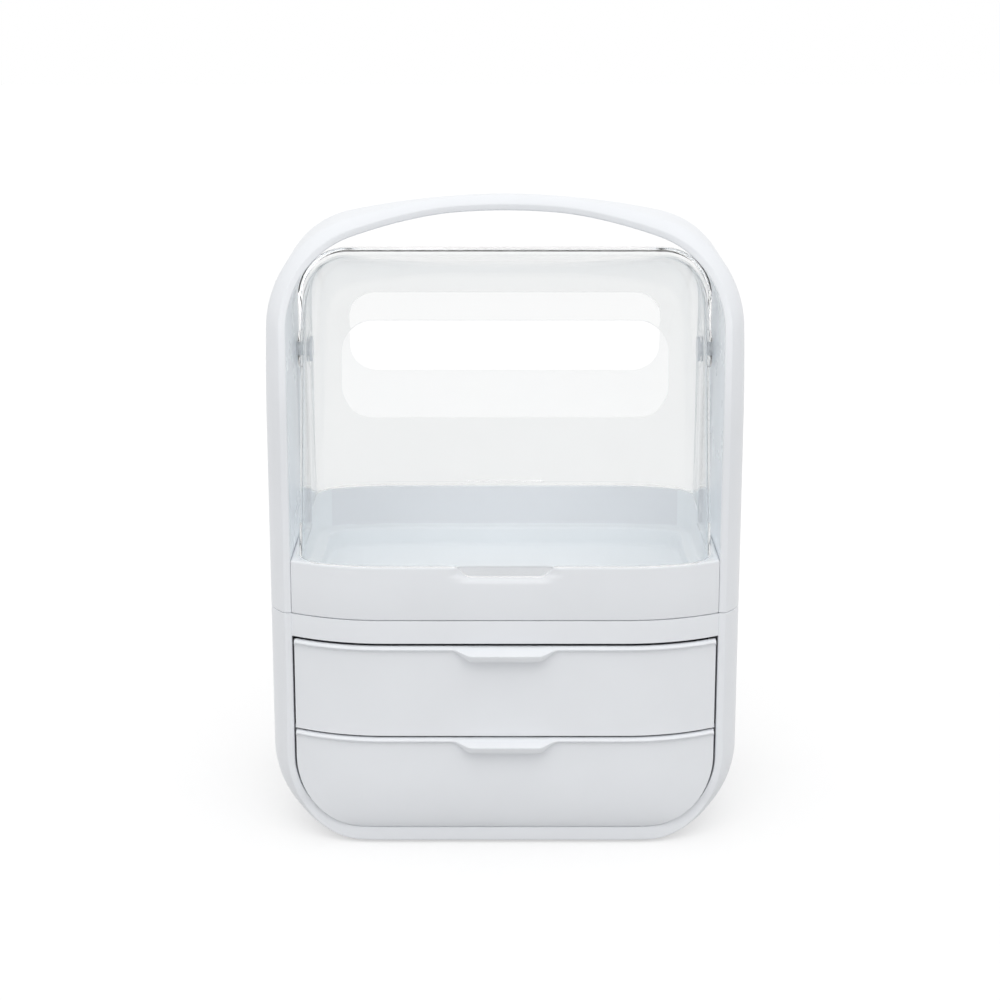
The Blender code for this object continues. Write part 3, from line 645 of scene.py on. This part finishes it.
def build_panel(name, side, half, low, high, radius, thickness):
    """A bowed upright panel of the base; side is -1 for the front and +1 for the back."""
    mesh_data = bmesh.new()
    rings = []
    for x in stations(half, radius if radius > 0 else PANEL_OVERLAP):
        if radius > 0:
            foot = low + corner_rise(x, half, radius)
            heights = eased(foot, max(TUCK_HEIGHT, foot + PANEL_OVERLAP), TURN_STEPS) + [high]
        else:
            heights = [low, high]
        corners = []
        for i, z in enumerate(heights):
            ease = SOFT_EDGE if i in (0, len(heights) - 1) else 0.0
            corners.append((side * (tucked_bow(x, z) - PANEL_INSET), z, ease))
        for z in reversed(heights):
            corners.append((side * (tucked_bow(x, z) - PANEL_INSET - thickness), z, 0.0))
        rings.append([(x, y, z) for y, z in rounded(corners)])
    skin(mesh_data, rings)
    finish_piece(name, mesh_data, "case", ("base_shell",), satin_white)


# Drawers

def tab_share(x):
    """0 along the plain lip and 1 on the finger tab, with soft slants between."""
    wide = TAB_TOP_WIDTH / 2
    narrow = TAB_LOW_WIDTH / 2
    return smooth((wide - abs(x)) / (wide - narrow))


def lip_stations(half, radius):
    """X places of a drawer front, close together at its rounded ends and over the tab's slants."""
    places = set(stations(half, radius))
    for side in (-1, 1):
        places |= {side * x for x in spread(TAB_LOW_WIDTH / 2, TAB_TOP_WIDTH / 2, SLANT_STEPS)}
    places = sorted(places)
    kept = places[:1]
    for x in places[1:]:
        if x - kept[-1] > LEAST_STEP:
            kept.append(x)
    return kept


def build_drawer_front(name, node_name, body, radius):
    """A bowed front with its lip and finger tab; radius is that of its lower corners."""
    box_low, box_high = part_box(node_name)
    low = BOTTOM_BORDER + FIT if radius > 0 else box_low[2]
    half = box_high[0]
    mesh_data = bmesh.new()
    rings = []
    for x in lip_stations(half, radius if radius > 0 else LIP_END):
        foot = low + corner_rise(x, half, radius) if radius > 0 else low
        knee = max(TUCK_HEIGHT, foot + PANEL_OVERLAP) if radius > 0 else foot + PANEL_OVERLAP
        share = tab_share(x)
        top = box_high[2] - LIP_END_SHARE * corner_rise(x, half, LIP_END)
        reach = mix(LIP_REACH, TAB_REACH, share)
        tip = top - mix(LIP_TIP_DROP, TAB_TIP_DROP, share)
        nose = tip - mix(LIP_NOSE, TAB_NOSE, share)
        lean = mix(LIP_NOSE_LEAN, TAB_NOSE_LEAN, share)
        root = top - mix(LIP_HEIGHT, TAB_HEIGHT, share)
        face = bow(x)
        heights = eased(foot, knee, TURN_STEPS)
        corners = [(tucked_bow(x, z), z, SOFT_EDGE if z == foot else 0.0) for z in heights]
        corners += [(face, root - LIP_HEIGHT, 0.0), (face, root, LIP_ROOT_ROUND),
                    (face + reach - lean, nose, LIP_EDGE_ROUND),
                    (face + reach, tip, LIP_EDGE_ROUND),
                    (face + reach * LIP_CROWN_SHARE, top, LIP_CROWN_ROUND),
                    (face - FRONT_THICKNESS, top, SOFT_EDGE)]
        corners += [(tucked_bow(x, z) - FRONT_THICKNESS, z, 0.0) for z in reversed(heights)]
        rings.append([(x, -out, z) for out, z in rounded(corners)])
    skin(mesh_data, rings, soft_ends=True)
    front = finish_piece(name, mesh_data, body, (node_name,), satin_white)
    soften_ends(front, SOFT_EDGE)


def build_tub(name, node_name, body, radius):
    """A drawer's box with rounded corners, behind its front; radius is that of its lower side edges."""
    low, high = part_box(node_name)
    half = high[0]
    back = high[1]

    def ring(z, inset, cut):
        """The plan outline at height z, cut back all round, and more by the lower rounding."""
        bend = max(radius - inset, 0.0)
        into = clamp(bend - (z - low[2] - inset), 0.0, bend)
        side = half - inset - cut - (bend - math.sqrt(bend ** 2 - into ** 2))
        corner = max(TUB_CORNER - inset, TUB_WALL)
        points = []
        for x in stations(side, corner):
            taken = corner_rise(x, side, corner)
            points.append((x, taken + FRONT_THICKNESS + FIT + inset + cut - tucked_bow(x, z), z))
        for x in reversed(stations(side, corner)):
            points.append((x, back - inset - cut - corner_rise(x, side, corner), z))
        return points

    knee = low[2] + max(radius, TUB_WALL + TUB_FILLET)
    rings = [ring(z, 0.0, FIT if z == low[2] else 0.0) for z in eased(low[2], knee, TURN_STEPS)]
    rim = TUB_WALL / 2
    for angle in spread(0.0, math.pi, 2 * ROUND_STEPS):
        rings.append(ring(high[2] - rim * (1 - math.sin(angle)), rim * (1 - math.cos(angle)), 0.0))
    floor = low[2] + TUB_WALL
    for z in reversed(eased(floor, knee, 2 * TURN_STEPS)):
        into = clamp(TUB_FILLET - (z - floor), 0.0, TUB_FILLET)
        rings.append(ring(z, TUB_WALL, TUB_FILLET - math.sqrt(TUB_FILLET ** 2 - into ** 2)))
    mesh_data = bmesh.new()
    skin(mesh_data, rings)
    finish_piece(name, mesh_data, body, (node_name,), tub_white)


# Tray

def recess_depth(x, z):
    """Depth of the shallow trapezoid that the lid's finger tab hangs in."""
    down = RIM_HEIGHT - z
    half = mix(RECESS_TOP_WIDTH, RECESS_LOW_WIDTH, clamp(down / RECESS_HEIGHT)) / 2
    inside = smooth((half - abs(x)) / RECESS_EDGE)
    return RECESS_DEPTH * inside * smooth((RECESS_HEIGHT - down) / RECESS_SLOPE)


def plan_ring(inset, corner, z, front_inset=None, recess=0.0):
    """A plan outline of the tray: bowed front and back, straight sides, rounded corners."""
    half = TRAY_HALF - inset
    front_inset = inset if front_inset is None else front_inset
    ring = []
    for side in (-1, 1):
        for x in stations(half, corner, BOW_STEPS * 2):
            out = bow(x) - front_inset - corner_rise(x, half, corner)
            if side < 0:
                out -= recess_depth(x, z) * recess
            ring.append((-side * x, side * out, z))
    return ring


def turned_rings(inset, z, across, up, corner, angles, recess=0.0):
    """Plan outlines round a quarter turn; across and up are its radii with their directions."""
    return [plan_ring(inset + across * (1 - math.cos(angle)), corner,
                      z + up * (1 - math.sin(angle)), recess=recess) for angle in angles]


def build_tray():
    outer = TRAY_OUTER_CORNER
    rings = [plan_ring(0.0, outer, z, front_inset=TRAY_BEHIND_RAIL) for z in (TRAY_UNDER, TRAY_SEAT)]
    for angle in quarter(SEAM_STEPS):
        cut = SEAM_ROUND * (1 - math.sin(angle))
        rings.append(plan_ring(cut, outer, TRAY_SEAT + SEAM_ROUND * (1 - math.cos(angle))))
    recess_low = RIM_HEIGHT - RECESS_HEIGHT
    rings.append(plan_ring(0.0, outer, recess_low - RECESS_EDGE))
    for z in spread(recess_low, RIM_HEIGHT - RIM_ROUND, RECESS_STEPS):
        rings.append(plan_ring(0.0, outer, z, recess=1.0))
    rim = quarter(RIM_STEPS)
    fillet = quarter(FILLET_STEPS)
    edge = TRAY_WALL + TRAY_LEDGE_WIDTH
    rings += turned_rings(0.0, RIM_HEIGHT, RIM_ROUND, -RIM_ROUND, outer, rim[1:], recess=1.0)
    rings += turned_rings(TRAY_WALL, RIM_HEIGHT, -RIM_ROUND, -RIM_ROUND, TRAY_CORNER, rim[::-1])
    rings += turned_rings(TRAY_WALL, TRAY_LEDGE_HEIGHT, TRAY_FILLET, TRAY_FILLET, TRAY_CORNER, fillet)
    rings += turned_rings(edge, TRAY_LEDGE_HEIGHT, -RIM_ROUND, -RIM_ROUND, TRAY_LOW_CORNER, rim[::-1])
    rings += turned_rings(edge, TRAY_FLOOR_HEIGHT, TRAY_FILLET, TRAY_FILLET, TRAY_LOW_CORNER, fillet)
    mesh_data = bmesh.new()
    skin(mesh_data, rings)
    tray = finish_piece("tray", mesh_data, "case", ("upper_tray",), satin_white)
    # The inner faces take the lighter inner material, which is painted light inside the hood.
    tray.data.materials.append(inner_white)
    for polygon in tray.data.polygons:
        x, y, z = polygon.center
        inside = abs(x) < TRAY_HALF - RIM_ROUND and abs(y) < bow(x) - RIM_ROUND - RECESS_DEPTH
        if inside and z > TRAY_UNDER + TRAY_WALL / 2:
            polygon.material_index = 1


# Hoop and handle

def hoop_path():
    """Outer line of the hoop in front view, as (x, z, normal angle, length from the crown).

    The second value is the length at which the hoop has its full section.
    """
    crown_z = TOTAL_HEIGHT - CROWN_RADIUS
    centre_z = TOTAL_HEIGHT - CROWN_DROP
    lean = math.asin(SHOULDER_X / (CROWN_RADIUS - SHOULDER_RADIUS))
    crown_length = CROWN_RADIUS * lean
    side_start = crown_length + SHOULDER_RADIUS * (math.pi / 2 - lean)
    right = []
    for angle in spread(0.0, lean, PATH_STEPS):
        right.append((CROWN_RADIUS * math.sin(angle), crown_z + CROWN_RADIUS * math.cos(angle),
                      angle, CROWN_RADIUS * angle))
    for angle in spread(lean, math.pi / 2, PATH_STEPS)[1:]:
        right.append((SHOULDER_X + SHOULDER_RADIUS * math.sin(angle),
                      centre_z + SHOULDER_RADIUS * math.cos(angle),
                      angle, crown_length + SHOULDER_RADIUS * (angle - lean)))
    for z in spread(centre_z, HOOP_LOW, PATH_STEPS)[1:]:
        right.append((HALF_WIDTH, z, math.pi / 2, side_start + centre_z - z))
    left = [(-x, z, -angle, along) for x, z, angle, along in reversed(right[1:])]
    return left + right, side_start + centre_z - FLARE_HEIGHT


def hoop_sizes(along, full):
    """Half depth, thickness, edge drop and edge run of the hoop at a distance from the crown."""
    start = HANDLE_LENGTH / 2
    share = clamp((along - start) / (full - start))
    share = math.sin(math.pi / 2 * share ** FLARE_POWER)
    pairs = [(HANDLE_DEPTH / 2, HALF_DEPTH), (HANDLE_THICKNESS, BORDER),
             (HANDLE_EDGE_DROP, EDGE_DROP), (HANDLE_EDGE_RUN, EDGE_RUN)]
    return [mix(thin, wide, share) for thin, wide in pairs]


def place_section(station, thickness, profile):
    """Points (depth, height over the inner face) of a section, set square to the path."""
    x, z, angle = station[:3]
    return [(x + (up - thickness) * math.sin(angle), depth, z + (up - thickness) * math.cos(angle))
            for depth, up in profile]


def build_hoop(path, full):
    mesh_data = bmesh.new()
    rings = []
    for station in path:
        half, thickness, drop, run = hoop_sizes(station[3], full)
        outer = both_halves(crowned_profile(half, thickness, drop, run))
        inner = [(-half + HOOP_WALL, 0.0, SOFT_EDGE),
                 (-half + HOOP_WALL, thickness - drop - HOOP_WALL / 2, 0.0)]
        for share in spread(0.0, 1.0, EDGE_STEPS)[1:]:
            inner.append((-half + HOOP_WALL + (run - HOOP_WALL) * share,
                          thickness - HOOP_WALL - (drop - HOOP_WALL / 2) * (1 - share) ** 2, 0.0))
        corners = outer + list(reversed(both_halves(inner)))
        rings.append(place_section(station, thickness, rounded(corners)))
    skin(mesh_data, rings, soft_ends=True)
    hoop = finish_piece("hoop", mesh_data, "case", ("hoop_shell",), satin_white)
    soften_ends(hoop, SEAM_ROUND)


def build_strip(name, node_name, path, full):
    """A smooth inner face that follows a stretch of the hoop."""
    low = HOOP_LOW + FIT
    mesh_data = bmesh.new()
    rings = []
    for x, z, angle, along in path:
        half, thickness, _, _ = hoop_sizes(along, full)
        edge = half - HOOP_WALL - FIT
        corners = [(-edge, 0.0, LINER_ROUND), (-edge, LINER_THICKNESS, 0.0),
                   (edge, LINER_THICKNESS, 0.0), (edge, 0.0, LINER_ROUND)]
        rings.append(place_section((x, max(z, low), angle), thickness, rounded(corners)))
    skin(mesh_data, rings, soft_ends=True)
    # The inner faces take the lighter liner material, which is painted light inside the hood.
    piece = finish_piece(name, mesh_data, "case", (node_name,), liner_white)
    soften_ends(piece, FIT)


def build_inner_faces(path, full):
    limit = math.radians(LINER_END_DEGREES)
    build_strip("handle_inner", "handle_grip", [point for point in path if abs(point[2]) < limit], full)
    build_strip("side_liner_left", "liner_left", [point for point in path if -point[2] > limit], full)
    build_strip("side_liner_right", "liner_right", [point for point in path if point[2] > limit], full)


# Lids

def slot_top_angle(crown):
    return math.asin((SLOT_HIGH - PIVOT_HEIGHT) / crown)


def lid_rows(lap, crown):
    """Rows of a lid: its hem, heights below the pivot, then angles above it."""
    top = slot_top_angle(crown)
    rows = [("hem", k) for k in range(HEM_ROWS)]
    rows += [("height", z) for z in spread(LID_LOW + HEM_HEIGHT, SLOT_LOW, SKIRT_ROWS)[1:]]
    rows += [("height", z) for z in spread(SLOT_LOW, PIVOT_HEIGHT, SLOT_ROWS)[1:]]
    rows += [("angle", angle) for angle in spread(0.0, top, SLOT_ROWS)[1:]]
    rows += [("angle", angle) for angle in spread(top, math.pi / 2 + lap / crown, CROWN_ROWS)[1:]]
    return rows


def lid_columns(half, edge, slot_half):
    """X places of a lid from its middle to its end, mirrored."""
    flat = half - edge
    turn = [flat + edge * math.sin(angle) for angle in quarter(2 * TURN_STEPS)]
    straight = slot_half - SLOT_CORNER
    narrow = LID_TAB_LOW_WIDTH / 2
    wide = LID_TAB_TOP_WIDTH / 2
    right = spread(0.0, narrow, TAB_COLUMNS)
    right += spread(narrow, wide, SLANT_COLUMNS)[1:]
    right += spread(wide, straight, MIDDLE_COLUMNS)[1:]
    right += spread(straight, slot_half, CORNER_COLUMNS)[1:]
    right += [x for x in turn if x > slot_half + SLOT_MARGIN]
    return [-x for x in reversed(right[1:])] + right


def hem_profile(x, half):
    """Outline of a lid's turned-out foot at x, as distances out from the wall and up from its edge."""
    span = half - LID_CORNER_RADIUS * HEM_CORNER_SHARE
    slant = (LID_TAB_TOP_WIDTH - LID_TAB_LOW_WIDTH) / 2
    share = smooth((LID_TAB_TOP_WIDTH / 2 - abs(x)) / slant)
    out = mix(FLANGE_REACH * smooth((span - abs(x)) / HEM_END), TAB_REACH, share)
    drop = LID_TAB_DROP * share
    neck_out, neck_up = HEM_NECK_SHARES
    return rounded([(0.0, 0.0, 0.0), (HEM_UNDER_SHARE * out, -drop, HEM_UNDER_ROUND),
                    (out, -drop, HEM_TIP_ROUND), (out, HEM_LIP - drop, HEM_LIP_ROUND),
                    (neck_out * out, neck_up * HEM_HEIGHT, HEM_NECK_ROUND), (0.0, HEM_HEIGHT, 0.0)])


class LidFace:
    """One face of a lid's wall, the outer one or the inner one."""

    def __init__(self, half, edge, crown, wall):
        self.flat = half - edge
        self.scale = (edge - wall) / edge
        self.half = half - wall
        self.edge = edge - wall
        self.crown = crown - wall
        self.corner = LID_CORNER_RADIUS - wall
        self.inset = wall

    def across(self, x):
        """The place on this face that belongs to x on the outer face."""
        past = abs(x) - self.flat
        if past <= 0:
            return x
        return math.copysign(self.flat + past * self.scale, x)

    def radius(self, x):
        """The crown's radius at x, less over the rounded end."""
        return self.crown - corner_rise(x, self.half, self.edge)

    def height(self, x, row):
        kind, value = row
        if kind == "hem":
            return LID_LOW + HEM_HEIGHT * value / (HEM_ROWS - 1)
        return value if kind == "height" else PIVOT_HEIGHT + self.radius(x) * math.sin(value)

    def forward(self, x, z, row=None):
        """How far the face stands from the middle plane at x and height z."""
        radius = self.radius(x)
        foot = bow(x) - self.inset - corner_rise(x, self.half, self.corner)
        drop = PIVOT_HEIGHT - LID_LOW
        start = math.acos(radius / math.hypot(foot, drop)) - math.atan2(drop, foot)
        if row is not None and row[0] == "angle" and row[1] >= start:
            return radius * math.cos(row[1])
        end_z = PIVOT_HEIGHT + radius * math.sin(start)
        if z <= end_z:
            return mix(foot, radius * math.cos(start), (z - LID_LOW) / (end_z - LID_LOW))
        return math.sqrt(max(radius ** 2 - (z - PIVOT_HEIGHT) ** 2, 0.0))


def slot_shift(x, z, slot_half):
    """Moves a grid point near the finger slot so that the slot's corners come out round."""
    near_x = clamp(x, -slot_half, slot_half)
    near_z = clamp(z, SLOT_LOW, SLOT_HIGH)
    from_end = (slot_half - abs(near_x)) / SLOT_CORNER
    upper = near_z > (SLOT_LOW + SLOT_HIGH) / 2
    from_edge = (SLOT_HIGH - near_z if upper else near_z - SLOT_LOW) / SLOT_CORNER
    away = max(abs(x - near_x), abs(z - near_z))
    if from_end >= 1 or from_edge >= 1 or away >= SLOT_BLEND:
        return 0.0, 0.0
    fade = (1 - away / SLOT_BLEND) ** 2
    turn = math.pi / 4 * (1 + from_edge - from_end)
    want_end = 1 - math.cos(math.pi / 2 - turn)
    want_edge = 1 - math.cos(turn)
    side_x = math.copysign(1.0, near_x)
    side_z = 1.0 if upper else -1.0
    return (side_x * (from_end - want_end) * SLOT_CORNER * fade,
            side_z * (from_edge - want_edge) * SLOT_CORNER * fade)


def side_wall(border, rows):
    """Columns of a lid's flat side wall, from an end of its face in to the middle."""
    columns = []
    for share in spread(0.0, 1.0, SIDE_STEPS)[1:]:
        keep = 1 - share * (1 - SIDE_CORE_SHARE)
        column = []
        for (x, forward, z), row in zip(border, rows):
            if row[0] == "angle":
                column.append((x, forward * keep, mix(PIVOT_HEIGHT, z, keep)))
            else:
                column.append((x, mix(forward, LID_PART_GAP, share), z))
        columns.append(column)
    return columns


def lid_grid(face, columns, rows, slot_half, outer):
    """Grid of (x, forward, height) over the lid's face, with its flat side walls at both ends."""
    grid = []
    for x in columns:
        here = face.across(x)
        hem = hem_profile(x, outer.half)
        line = []
        for row in rows:
            z = face.height(here, row)
            if row[0] == "hem" and face is outer:
                out, up = hem[row[1]]
                line.append((here, face.forward(here, LID_LOW + up) + out, LID_LOW + up))
                continue
            shift_x, shift_z = slot_shift(x, outer.height(x, row), slot_half)
            if shift_x or shift_z:
                place = here + shift_x
                line.append((place, face.forward(place, z + shift_z), z + shift_z))
            else:
                line.append((here, face.forward(here, z, row), z))
        grid.append(line)
    return side_wall(grid[0], rows)[::-1] + grid + side_wall(grid[-1], rows)


def in_slot(column, next_column, row, next_row, slot_half, slot_angle):
    """True for a grid cell that lies in the finger slot."""
    if max(abs(column), abs(next_column)) > slot_half + PLACE_TOLERANCE:
        return False
    if row[0] == "height":
        return row[1] >= SLOT_LOW - PLACE_TOLERANCE
    return row[0] == "angle" and next_row[1] <= slot_angle + ANGLE_TOLERANCE


def lid_shell(side, half, edge, crown, lap):
    """Closed mesh data of a lid's wall, with soft rims marked for the bevel."""
    slot_half = half - SLOT_INSET
    slot_angle = slot_top_angle(crown)
    rows = lid_rows(lap, crown)
    columns = lid_columns(half, edge, slot_half)
    outer = LidFace(half, edge, crown, 0.0)
    inner = LidFace(half, edge, crown, LID_WALL)
    mesh_data = bmesh.new()
    layers = []
    for face in (outer, inner):
        grid = lid_grid(face, columns, rows, slot_half, outer)
        layers.append([[mesh_data.verts.new((x, side * forward, z)) for x, forward, z in line]
                       for line in grid])
    marks = [-half] * SIDE_STEPS + columns + [half] * SIDE_STEPS
    rim = {}
    for i in range(len(marks) - 1):
        for j in range(len(rows) - 1):
            if in_slot(marks[i], marks[i + 1], rows[j], rows[j + 1], slot_half, slot_angle):
                continue
            cell = ((i, j), (i + 1, j), (i + 1, j + 1), (i, j + 1))
            mesh_data.faces.new([layers[0][a][b] for a, b in cell])
            mesh_data.faces.new([layers[1][a][b] for a, b in reversed(cell)])
            for start, end in zip(cell, cell[1:] + cell[:1]):
                if (end, start) in rim:
                    del rim[(end, start)]
                else:
                    rim[(start, end)] = True
    weights = mesh_data.edges.layers.float.new("bevel_weight_edge")
    for start, end in rim:
        face = mesh_data.faces.new((layers[0][end[0]][end[1]], layers[0][start[0]][start[1]],
                                    layers[1][start[0]][start[1]], layers[1][end[0]][end[1]]))
        face.edges[2][weights] = 1.0
        if start[1] or end[1]:
            face.edges[0][weights] = 1.0
    bmesh.ops.delete(mesh_data, geom=[vert for vert in mesh_data.verts if not vert.link_faces])
    merge_points(mesh_data)
    return mesh_data


def ear_ring(end, half):
    """The ring of a lid's ear round its pin, with a low boss on the inner side."""
    hole = PIN_RADIUS + FIT
    boss = half - LID_WALL - EAR_BOSS
    corners = [(boss, hole, SOFT_EDGE / 2), (boss, EAR_RADIUS, SOFT_EDGE / 2),
               (half + EAR_STEP, EAR_RADIUS, EAR_STEP), (half + EAR_STEP, hole, EAR_STEP)]
    mesh_data = bmesh.new()
    rings = [[(end * x, radius * math.cos(angle), PIVOT_HEIGHT + radius * math.sin(angle))
              for x, radius in rounded(corners)] for angle in spread(0.0, 2 * math.pi, EAR_SIDES)]
    skin(mesh_data, rings, caps=False)
    merge_points(mesh_data)
    return solid(mesh_data)


def build_lid(name, node_name, body, side, edge, crown, lap):
    """One clear half of the hood; side is -1 for the front lid and +1 for the rear one."""
    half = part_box(node_name)[1][0]
    lid = solid(lid_shell(side, half, edge, crown, lap))
    lid.name = name
    soften_ends(lid, LID_ROUND)
    bpy.context.view_layer.update()
    bake(lid)
    carve(lid, [ear_ring(end, half) for end in (-1, 1)], "UNION")
    shade(lid.data, LID_SHARP_DEGREES)
    lid.data.materials.clear()
    lid.data.materials.append(clear_plastic)
    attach(lid, body)
    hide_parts(node_name)


def dress_nodes():
    """Materials for the carried-over nodes."""
    finishes = {"divider_shelf": tub_white}
    for word in ("left", "right"):
        finishes[f"pivot_pin_{word}"] = pin_white
        finishes[f"pivot_washer_{word}"] = washer_nylon
        for end in ("front", "rear"):
            finishes[f"foot_pad_{end}_{word}"] = soft_pad
    for name, material in finishes.items():
        for held in frame["nodes"][name].material_slots:
            held.material = material


# Floor, light and camera

CAMERA_PLACE = (-2.9 * MM, -1309.0 * MM, 521.3 * MM)
CAMERA_PITCH_DEGREES = 14.4894
FOCAL_PIXELS = 2259.2
FRAME_PIXELS = 1000.0
SENSOR_WIDTH = 36.0
FLOOR_HALF = 6000.0 * MM
FLOOR_ROUGHNESS = 0.9

# Light levels, where 1 is white
FLOOR_BOUNCE = 0.58
FLOOR_SHADE = 0.5
FLOOR_GLOW = 0.51
DOME_SIDE = 0.53
DOME_TOP = 0.5
KEY_LEVEL = 1.75
KEY_FOCUS = 12.0
KEY_HEIGHT_DEGREES = 50.0


def reckon(tree, operation, *values):
    """The output of a Math node; each value is a number or the socket that gives it."""
    made = tree.nodes.new("ShaderNodeMath")
    made.operation = operation
    for socket, value in zip(made.inputs, values):
        if isinstance(value, float):
            socket.default_value = value
        else:
            tree.links.new(value, socket)
    return made.outputs["Value"]


def seen_rays(tree):
    """1 for camera, glossy and transmission rays, else 0."""
    path = tree.nodes.new("ShaderNodeLightPath")
    seen = path.outputs["Is Camera Ray"]
    for kind in ("Is Glossy Ray", "Is Transmission Ray"):
        seen = reckon(tree, "MAXIMUM", seen, path.outputs[kind])
    return seen


def build_floor():
    """A pale floor that keeps the box's shadow."""
    mesh_data = bmesh.new()
    bmesh.ops.create_grid(mesh_data, x_segments=1, y_segments=1, size=FLOOR_HALF)
    mesh = bpy.data.meshes.new("floor")
    mesh_data.to_mesh(mesh)
    mesh_data.free()
    floor = add_object("floor", mesh)
    material = bpy.data.materials.new("pale_floor")
    material.use_nodes = True
    tree = material.node_tree
    shader = tree.nodes["Principled BSDF"]
    set_inputs(shader, {"Roughness": FLOOR_ROUGHNESS, "Specular_IOR_Level": 0.0, "Emission_Color": WHITE})
    seen = seen_rays(tree)
    for socket, unseen, shown in (("Base Color", FLOOR_BOUNCE, FLOOR_SHADE),
                                  ("Emission Strength", 0.0, FLOOR_GLOW)):
        level = node(tree, "ShaderNodeMapRange", To_Min=unseen, To_Max=shown)
        tree.links.new(seen, level.inputs["Value"])
        tree.links.new(level.outputs["Result"], shader.inputs[socket])
    mesh.materials.append(material)


def build_world():
    """A soft studio dome with a softbox high in front, and plain white where it is seen."""
    world = bpy.data.worlds.new("studio")
    bpy.context.scene.world = world
    world.use_nodes = True
    tree = world.node_tree
    background = tree.nodes["Background"]
    background.inputs["Color"].default_value = WHITE
    place = tree.nodes.new("ShaderNodeTexCoord")
    split = tree.nodes.new("ShaderNodeSeparateXYZ")
    tree.links.new(place.outputs["Generated"], split.inputs["Vector"])
    dome = node(tree, "ShaderNodeMapRange", To_Min=DOME_SIDE, To_Max=DOME_SIDE + DOME_TOP)
    tree.links.new(split.outputs["Z"], dome.inputs["Value"])
    height = math.radians(KEY_HEIGHT_DEGREES)
    towards = tree.nodes.new("ShaderNodeVectorMath")
    towards.operation = "DOT_PRODUCT"
    towards.inputs[1].default_value = (0.0, -math.cos(height), math.sin(height))
    tree.links.new(place.outputs["Generated"], towards.inputs[0])
    ahead = tree.nodes.new("ShaderNodeMapRange")
    tree.links.new(towards.outputs["Value"], ahead.inputs["Value"])
    lobe = reckon(tree, "POWER", ahead.outputs["Result"], KEY_FOCUS)
    total = reckon(tree, "MULTIPLY_ADD", lobe, KEY_LEVEL, dome.outputs["Result"])
    level = tree.nodes.new("ShaderNodeMapRange")
    tree.links.new(total, level.inputs["To Min"])
    tree.links.new(seen_rays(tree), level.inputs["Value"])
    tree.links.new(level.outputs["Result"], background.inputs["Strength"])


def build_camera():
    camera = bpy.data.cameras.new("photo_camera")
    camera.sensor_width = SENSOR_WIDTH
    camera.lens = FOCAL_PIXELS / FRAME_PIXELS * SENSOR_WIDTH
    view = add_object("photo_camera", camera)
    view.location = CAMERA_PLACE
    view.rotation_euler = (math.radians(90.0 - CAMERA_PITCH_DEGREES), 0.0, 0.0)
    bpy.context.scene.camera = view
    bpy.context.scene.view_settings.view_transform = "Standard"


def main():
    build_base()
    build_drawer_front("upper_drawer_face", "upper_drawer_front", "upper_drawer", 0.0)
    build_drawer_front("lower_drawer_face", "lower_drawer_front", "lower_drawer", BAY_RADIUS)
    build_tub("upper_drawer_box", "upper_drawer_tub", "upper_drawer", 0.0)
    build_tub("lower_drawer_box", "lower_drawer_tub", "lower_drawer", BAY_RADIUS)
    build_tray()
    path, full = hoop_path()
    build_hoop(path, full)
    build_inner_faces(path, full)
    build_lid("clear_lid_front", "front_lid", "front_lid_body", -1, FRONT_EDGE, FRONT_CROWN, 0.0)
    build_lid("clear_lid_rear", "rear_lid", "rear_lid_body", 1, REAR_EDGE, REAR_CROWN, LID_LAP)
    dress_nodes()
    build_floor()
    build_world()
    build_camera()


main()
